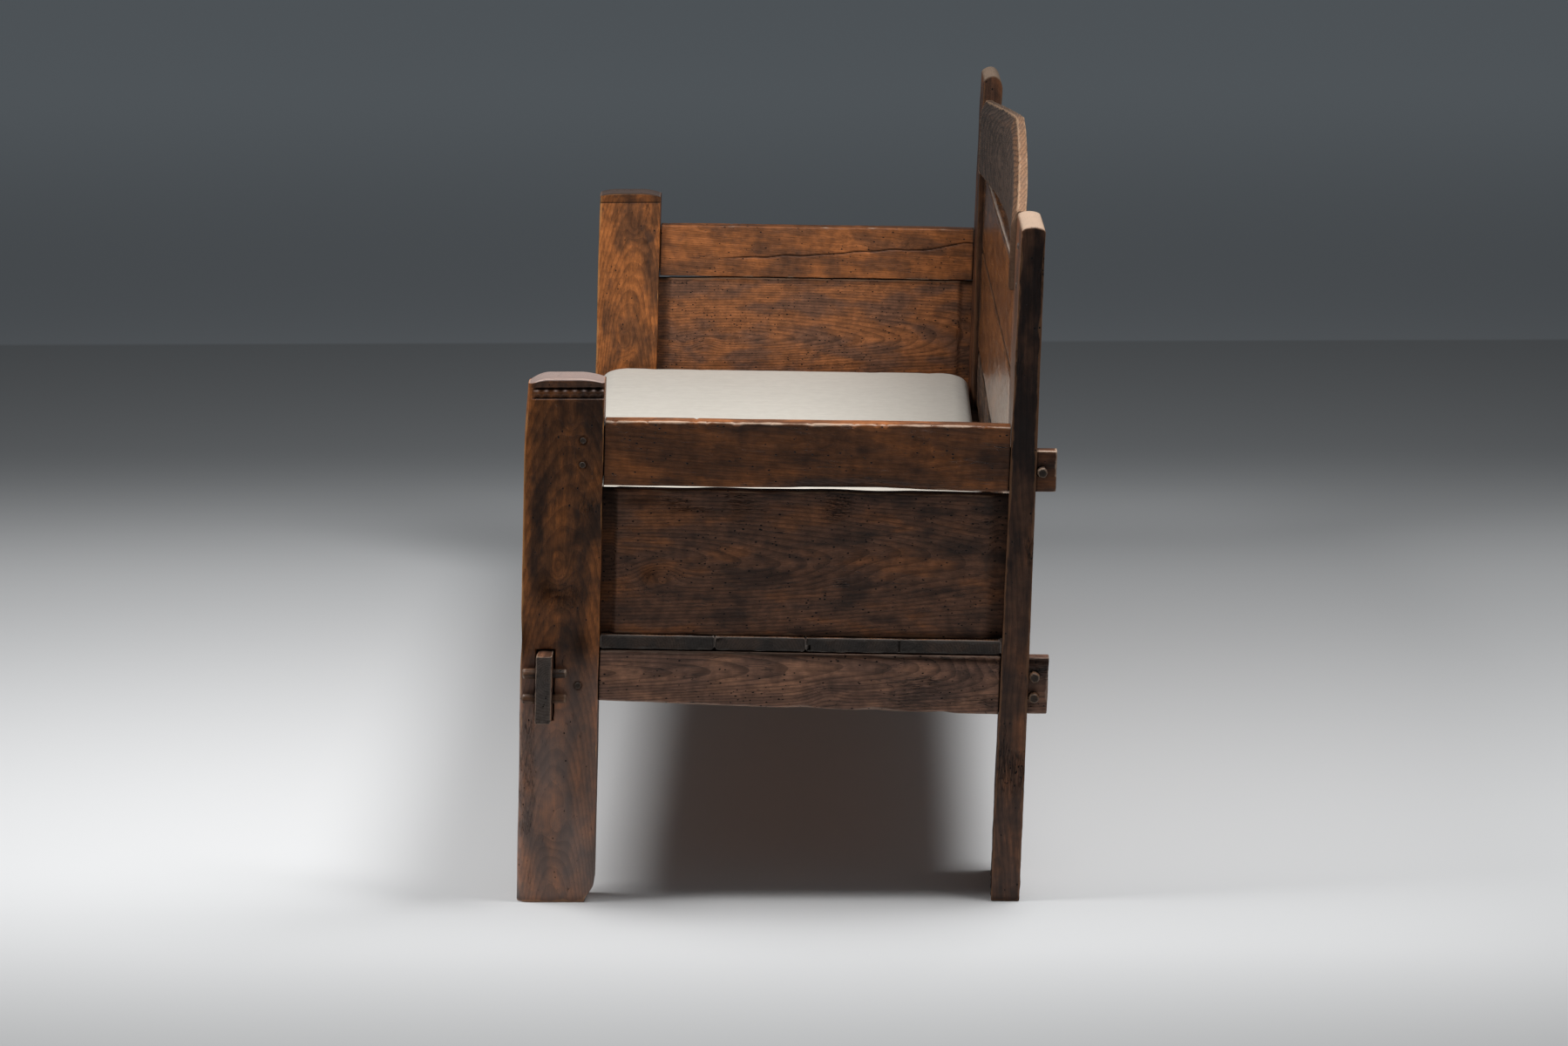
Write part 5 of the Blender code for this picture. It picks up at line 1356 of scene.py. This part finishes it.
def crest_board():
    """The crest: a runs along the bench, b rises from the low edge, c runs forward through the thickness."""
    def width(a):
        tongue = np.abs(a) > BOARD_END
        trim = np.where(tongue, CREST_TONGUE_TRIM[1], 0.0010 * wander(a, 0.05, 101))
        return CREST_TONGUE_TRIM[0] * tongue, crest_tall(a) - trim

    def thick(a):
        tongue = np.abs(a) > BOARD_END
        low, high = CREST_TONGUE_THICK
        return np.where(tongue, low, 0), np.where(tongue, high, CREST_THICK)

    def radii(a):
        plain = 0.0018 + 0.0022 * wander(a, 0.03, 102)
        return np.stack([plain, plain, plain, plain + 0.0015], axis=-1)

    def relief(skin):
        top = crest_tall(skin.a)
        margin = ridge(top - skin.b, CREST_MARGIN, 0.003) * skin.show
        # Painted light: the top edge band towards the near end gets a warmer, lighter tone and the top face a
        # pale end-grain colour; the dark line along the low edge is painted shade under the crest.
        edge = ramp(skin.b, top - 0.020, top - 0.014) * ramp(skin.a, -0.30, 0.25)
        return worked(skin, 103, 0.0010, 0.0003), {
            "tone_and_painted_light": 0.9 * edge + 0.25 * margin + 0.5 * ramp(skin.a, 0.60, BOARD_END),
            "grime_and_shade": 0.5 * ridge(skin.b, 0.0, 0.003) * skin.show,
            "end_grain_and_highlight": np.maximum(0.3 * (skin.out[:, 1] > 0.5), skin.end),
        }

    def figure(skin):
        knots = ((0.50, 0.07, 0.020, 0.020), (-0.2, 0.08, 0.03, 0.02))
        return grown(skin, 52.0, (0.07, -0.060), (0.03, 0.080), knots)

    def place(points):
        a, b, c = points.T
        bevel = CREST_MARGIN_DEPTH * np.clip(1 - (crest_tall(a) - b) / CREST_MARGIN, 0, 1)
        c = c * (1 - bevel / CREST_THICK)
        z = crest_low(a) + b
        bow = CREST_BOW * (1 - crest_out(a) ** CREST_BOW_POWER)
        y = REAR_MIDDLE - sloped(CREST_ADVANCE, a) + bow + RAKE * z + CREST_THICK / 2 - c
        return np.stack([a, y, z - RAKE * (y - REAR_MIDDLE - RAKE * z)], axis=-1)

    crest = timber(
        "crest_skin", board_stations(CREST_TONGUE), width, thick, radii, (52, 9), place, relief, figure,
        CREST_OAK,
    )
    fit(crest, "back_crest", "warm_oak")


crest_board()

# Pegs
# Key pegs are whittled by hand, tapered and faceted, and stand across the tenons they lock; each can be
# drawn out. Thin round pegs are driven through the joints and cut off just proud of the wood.
PEG_AROUND = 40
PEG_EASE, PEG_EASE_SHARE = 0.0030, 0.30
PEG_END_RINGS = (0, 0.0006, 0.0015, 0.0030)
KEY_TAPER = 0.00075
FIRST_PEG_SEED = 200
KEY_PEG_OAK = oak_finish(
    "key_peg_oak", gloss=0.40, holes=0.15, ring_depth=0.3, raw_rings=0.5, wear=0.6,
    deep=(0.020, 0.012, 0.008), body=(0.060, 0.032, 0.019), warm=(0.130, 0.062, 0.032),
    worn=(0.40, 0.27, 0.18), raw=(0.12, 0.08, 0.06),
)
DARK_PEG_OAK = oak_finish(
    "dark_key_peg_oak", gloss=0.45, holes=0.15, ring_depth=0.3, raw_rings=0.2,
    deep=(0.014, 0.010, 0.008), body=(0.050, 0.030, 0.020), warm=(0.100, 0.050, 0.026),
    worn=(0.22, 0.15, 0.10), raw=(0.034, 0.025, 0.019),
)
DRIVEN_PEG_OAK = oak_finish(
    "driven_peg_oak", gloss=0.50, holes=0.10, ring=0.0015, ring_depth=0.6, raw_rings=0.2,
    deep=(0.016, 0.012, 0.010), body=(0.050, 0.034, 0.026), warm=(0.090, 0.052, 0.032),
    worn=(0.15, 0.12, 0.10), raw=(0.085, 0.060, 0.045),
)


def whittled(turn, s, facets, draw):
    """Radius share of a faceted peg, cos(pi/n) / cos(angle to the middle of its facet), with facets that
    wander along it."""
    wandering = turn + 0.35 * np.sin(2 * turn + draw.uniform(0, 6))
    wandering = wandering + 0.1 * np.sin(s * 60 + draw.uniform(0, 6))
    wedge = np.pi / facets
    return np.cos(wedge) / np.cos(wandering % (2 * wedge) - wedge)


def peg_skin(name, head, direction, length, radii, facets, seed, finish, rows):
    """A peg of straight taper from head to tip, its radius eased at both ends; whittled where it has
    facets."""
    turn = np.linspace(0, 2 * np.pi, PEG_AROUND + 1)[:-1][None, :]
    s = np.concatenate([PEG_END_RINGS, np.linspace(0.005, length - 0.005, rows)])
    s = np.concatenate([s, length - s[3::-1]])[:, None]
    ease = 1 - PEG_EASE_SHARE * np.clip(1 - np.minimum(s, length - s) / PEG_EASE, 0, 1) ** 2
    radius = (radii[0] + (radii[1] - radii[0]) * s / length) * ease
    if facets:
        radius = radius * whittled(turn, s, facets, np.random.default_rng(seed))
    tube = np.stack([s + 0 * turn, radius * np.cos(turn), radius * np.sin(turn)], axis=-1)
    points, faces = closed_tube(tube, PEG_AROUND // 4, PEG_AROUND // 4)
    out = normals_of(points, faces)
    rough = noise_at(points, 0.004, seed + 1, 3.0)
    on_end = np.abs(out[:, 0])
    points = points - out * (0.0005 * rough + 0.0007 * on_end * noise_at(points, 0.0022, seed + 2))[:, None]
    away = np.minimum(points[:, 0], length - points[:, 0])
    handled = ramp(np.abs(points[:, 0] - length / 2), 0.0165, 0.0125)
    marks = {
        "grain_at": points + np.array([60.0 + seed, 0.012 if facets else 0.0, 0.004 if facets else 0.0]),
        "arris": np.where(on_end > 0.5, np.abs(np.hypot(points[:, 1], points[:, 2]) - radii[0]), away),
        "end_grain_and_highlight": on_end ** 2,
        "tone_and_painted_light": 0.35 + 0.35 * ramp(away, 0.012, 0.002) * bool(facets),
        "grime_and_shade": 0.65 * handled if facets else 0.3 * rough,
        "torn": 0 * away,
    }
    turned = Vector((1, 0, 0)).rotation_difference(Vector(direction)).to_matrix()
    return add_skin(name, points @ np.array(turned).T + np.array(head), faces, marks, finish)


def add_peg(node, axis, way, body, taper, facets, seed, finish, rows):
    """One peg in the place of its node, whose box gives its head, direction, length and radius."""
    low, high = (np.array(corner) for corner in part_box(node))
    head = (low + high) / 2
    head[axis] = low[axis] if way > 0 else high[axis]
    direction = np.zeros(3)
    direction[axis] = way
    radius = min(np.delete(high - low, axis)) / 2
    radii = (radius, radius - taper)
    peg = peg_skin(node + "_skin", head, direction, high[axis] - low[axis], radii, facets, seed, finish, rows)
    fit(peg, node, "peg_wood", body)


seed = FIRST_PEG_SEED
for side, word in ENDS:
    for node in (f"arm_key_peg_{word}", f"rear_key_peg_bottom_{word}", f"rear_key_peg_top_{word}"):
        add_peg(node, 0, -side, node + "_body", KEY_TAPER, 7, seed, DARK_PEG_OAK, 20)
        seed += 1
    for node in (f"front_key_peg_bottom_{word}", f"front_key_peg_top_{word}"):
        add_peg(node, 1, 1, node + "_body", KEY_TAPER, 6, seed, KEY_PEG_OAK, 24)
        seed += 1
    driven = [(f"arm_drawbore_peg_{word}_{number}", 0, -side) for number in (1, 2)]
    driven += [(f"lower_rail_drawbore_peg_{word}_1", 0, -side)]
    driven += [(f"crest_peg_{word}_{number}", 1, 1) for number in (1, 2)]
    driven += [(f"seat_peg_{word}_{number}", 2, -1) for number in range(1, 7)]
    for node, axis, way in driven:
        add_peg(node, axis, way, "frame", 0.0, 0, seed, DRIVEN_PEG_OAK, 6)
        seed += 1

# Cushion
# One loose pad of greige linen over a soft filling, rounded in plan to clear the posts. It lies flat on the
# planks and bulges a little above. Its cover shows no seam or piping.
PAD_LOW, PAD_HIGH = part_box("seat_cushion")
PAD_THICK = 0.047
PAD_CORNER = 0.040
PAD_SPILL = 0.008
PAD_SLACK = 0.0025
PAD_DRAWN_IN = 0.0015
PAD_RINGS, PAD_QUARTER = 60, 40
PAD_VOXEL = 0.006
PAD_PRESSURE = 4.0
PAD_FRAMES = 20
PAD_CAP = 0.0035
PAD_CLEAR, PAD_CLEAR_SIDES = 0.0006, 0.0010
PAD_HALF_LENGTH = PAD_HIGH.x
PAD_HALF_DEPTH = (PAD_HIGH.y + PAD_SPILL - PAD_LOW.y) / 2
PAD_MIDDLE_Y = (PAD_LOW.y + PAD_HIGH.y + PAD_SPILL) / 2
PAD_MIDDLE_Z = (PAD_LOW.z + PAD_HIGH.z) / 2
LINEN_SHADE = (0.84, 0.79, 0.70)
LINEN_DARK = (0.69, 0.64, 0.56)
THREAD_PITCH = 0.0011


def linen_finish():
    """Plain woven linen: threads both ways at a millimetre's pitch, with long slubs and a faint mottle."""
    finish, tree, shader = new_finish("linen")
    where = add_node(tree, "TexCoord").outputs["Object"]
    threads = []
    for way, spin in (("X", 0.0), ("Y", 1.7)):
        threads.append(add_node(
            tree, "TexWave", {"wave_type": "BANDS", "bands_direction": way, "wave_profile": "SIN"},
            Vector=where, Scale=WAVE_PITCH / THREAD_PITCH, Distortion=1.2, Detail=2.0, Detail_Scale=3.0,
            Phase_Offset=spin,
        ).outputs["Fac"])
    weave = maths(tree, "MULTIPLY", *threads)
    along = add_node(tree, "Mapping", Vector=where, Scale=(420.0, 12.0, 60.0)).outputs[0]
    slubs = add_node(tree, "TexNoise", Vector=along, Scale=1.0, Detail=3.0).outputs["Fac"]
    mottle = add_node(tree, "TexNoise", Vector=where, Scale=70.0, Detail=3.0).outputs["Fac"]
    dull = 0.10
    for pattern, share in ((slubs, 0.35), (mottle, 0.25)):
        dull = maths(tree, "MULTIPLY_ADD", spread(tree, pattern, 0.35, 0.65, 0.0, 1.0), share, dull)
    dull = maths(tree, "MULTIPLY_ADD", weave, -0.25, dull)
    fill_socket(tree, shader.inputs["Base Color"], mixed(tree, dull, LINEN_SHADE, LINEN_DARK))
    shader.inputs["Roughness"].default_value = 0.92
    shader.inputs["Specular IOR Level"].default_value = 0.2
    shader.inputs["Sheen Weight"].default_value = 0.15
    height = maths(tree, "MULTIPLY_ADD", slubs, 0.5, weave)
    bump = add_node(tree, "Bump", Strength=0.35, Distance=0.0004, Height=height)
    fill_socket(tree, shader.inputs["Normal"], bump.outputs[0])
    return finish


def pad_half_depth(x, depth):
    """Half depth of the pad's outline at x: a rectangle with round corners, its sides drawn in between."""
    past = np.clip((np.abs(x) - PAD_HALF_LENGTH + PAD_CORNER) / PAD_CORNER, 0, 1)
    drawn_in = PAD_DRAWN_IN * (1 - (x / PAD_HALF_LENGTH) ** 4)
    return depth - drawn_in - PAD_CORNER * (1 - np.sqrt(1 - past ** 2))


def pad_skin():
    """The slack pad: rings |y/b|^30 + |z/t|^2 = 1 carried along x, with b from the outline and t easing down
    at the ends."""
    turn = np.linspace(0, np.pi / 2, PAD_RINGS)
    x = (PAD_HALF_LENGTH - PAD_SLACK) * np.concatenate([-np.sin(turn[::-1]), np.sin(turn[1:])])
    around = np.linspace(0, 2 * np.pi, 4 * PAD_QUARTER + 1)[:-1] - 3 * np.pi / 4
    half_depth = pad_half_depth(x * 0.999, PAD_HALF_DEPTH - PAD_SLACK)
    half_thick = (PAD_THICK / 2 - 0.001) * (1 - 0.3 * np.abs(x / PAD_HALF_LENGTH) ** 90)
    y = np.sign(np.cos(around)) * np.abs(np.cos(around)) ** (2 / 30)
    z = np.sin(around)
    tube = np.stack([x[:, None] + 0 * y, half_depth[:, None] * y, half_thick[:, None] * z], axis=-1)
    return closed_tube(tube, PAD_QUARTER, PAD_QUARTER)


def points_of(mesh):
    """The places of a mesh's points."""
    points = np.empty(len(mesh.vertices) * 3)
    mesh.vertices.foreach_get("co", points)
    return points.reshape(-1, 3)


def remeshed(pad):
    """The pad's skin as an even net of voxel-sized faces, eased a little."""
    net = pad.modifiers.new("Net", "REMESH")
    net.mode = "VOXEL"
    net.voxel_size = PAD_VOXEL
    ease = pad.modifiers.new("Ease", "SMOOTH")
    ease.iterations = 4
    even = bpy.data.meshes.new_from_object(pad.evaluated_get(bpy.context.evaluated_depsgraph_get()))
    pad.modifiers.clear()
    pad.data = even


def settled(pad):
    """The pad swollen by its filling: a cloth under pressure, with each point's way capped."""
    start = points_of(pad.data)
    cloth = pad.modifiers.new("Swell", "CLOTH")
    cloth.settings.use_pressure = True
    cloth.settings.uniform_pressure_force = PAD_PRESSURE
    cloth.settings.effector_weights.gravity = 0.0
    cloth.point_cache.frame_end = PAD_FRAMES
    for moment in range(1, PAD_FRAMES + 1):
        bpy.context.scene.frame_set(moment)
    way = points_of(pad.evaluated_get(bpy.context.evaluated_depsgraph_get()).data) - start
    pad.modifiers.remove(cloth)
    bpy.context.scene.frame_set(1)
    far = np.linalg.norm(way, axis=1, keepdims=True)
    return start + way * np.minimum(1, PAD_CAP / np.maximum(far, 1e-9))


def laid(points):
    """Sets the pad on the sloping planks: flat below, kept inside its own length, depth and thickness."""
    x, y, z = points.T
    z = np.clip(z, PAD_CLEAR - PAD_THICK / 2, PAD_THICK / 2)
    x = np.clip(x, PAD_CLEAR - PAD_HALF_LENGTH, PAD_HALF_LENGTH - PAD_CLEAR)
    y = np.clip(y, PAD_CLEAR_SIDES - PAD_HALF_DEPTH, PAD_HALF_DEPTH - PAD_CLEAR_SIDES)
    return np.stack([x, PAD_MIDDLE_Y + y, PAD_MIDDLE_Z + RAIL_DROP * y + z], axis=-1)


def cushion():
    pad = add_skin("cushion_pad", *pad_skin(), {}, linen_finish())
    bpy.context.view_layer.update()
    remeshed(pad)
    points = settled(pad)
    pad.data.vertices.foreach_set("co", laid(points).ravel())
    pad.data.shade_smooth()
    fit(pad, "seat_cushion", "linen", "cushion")


cushion()
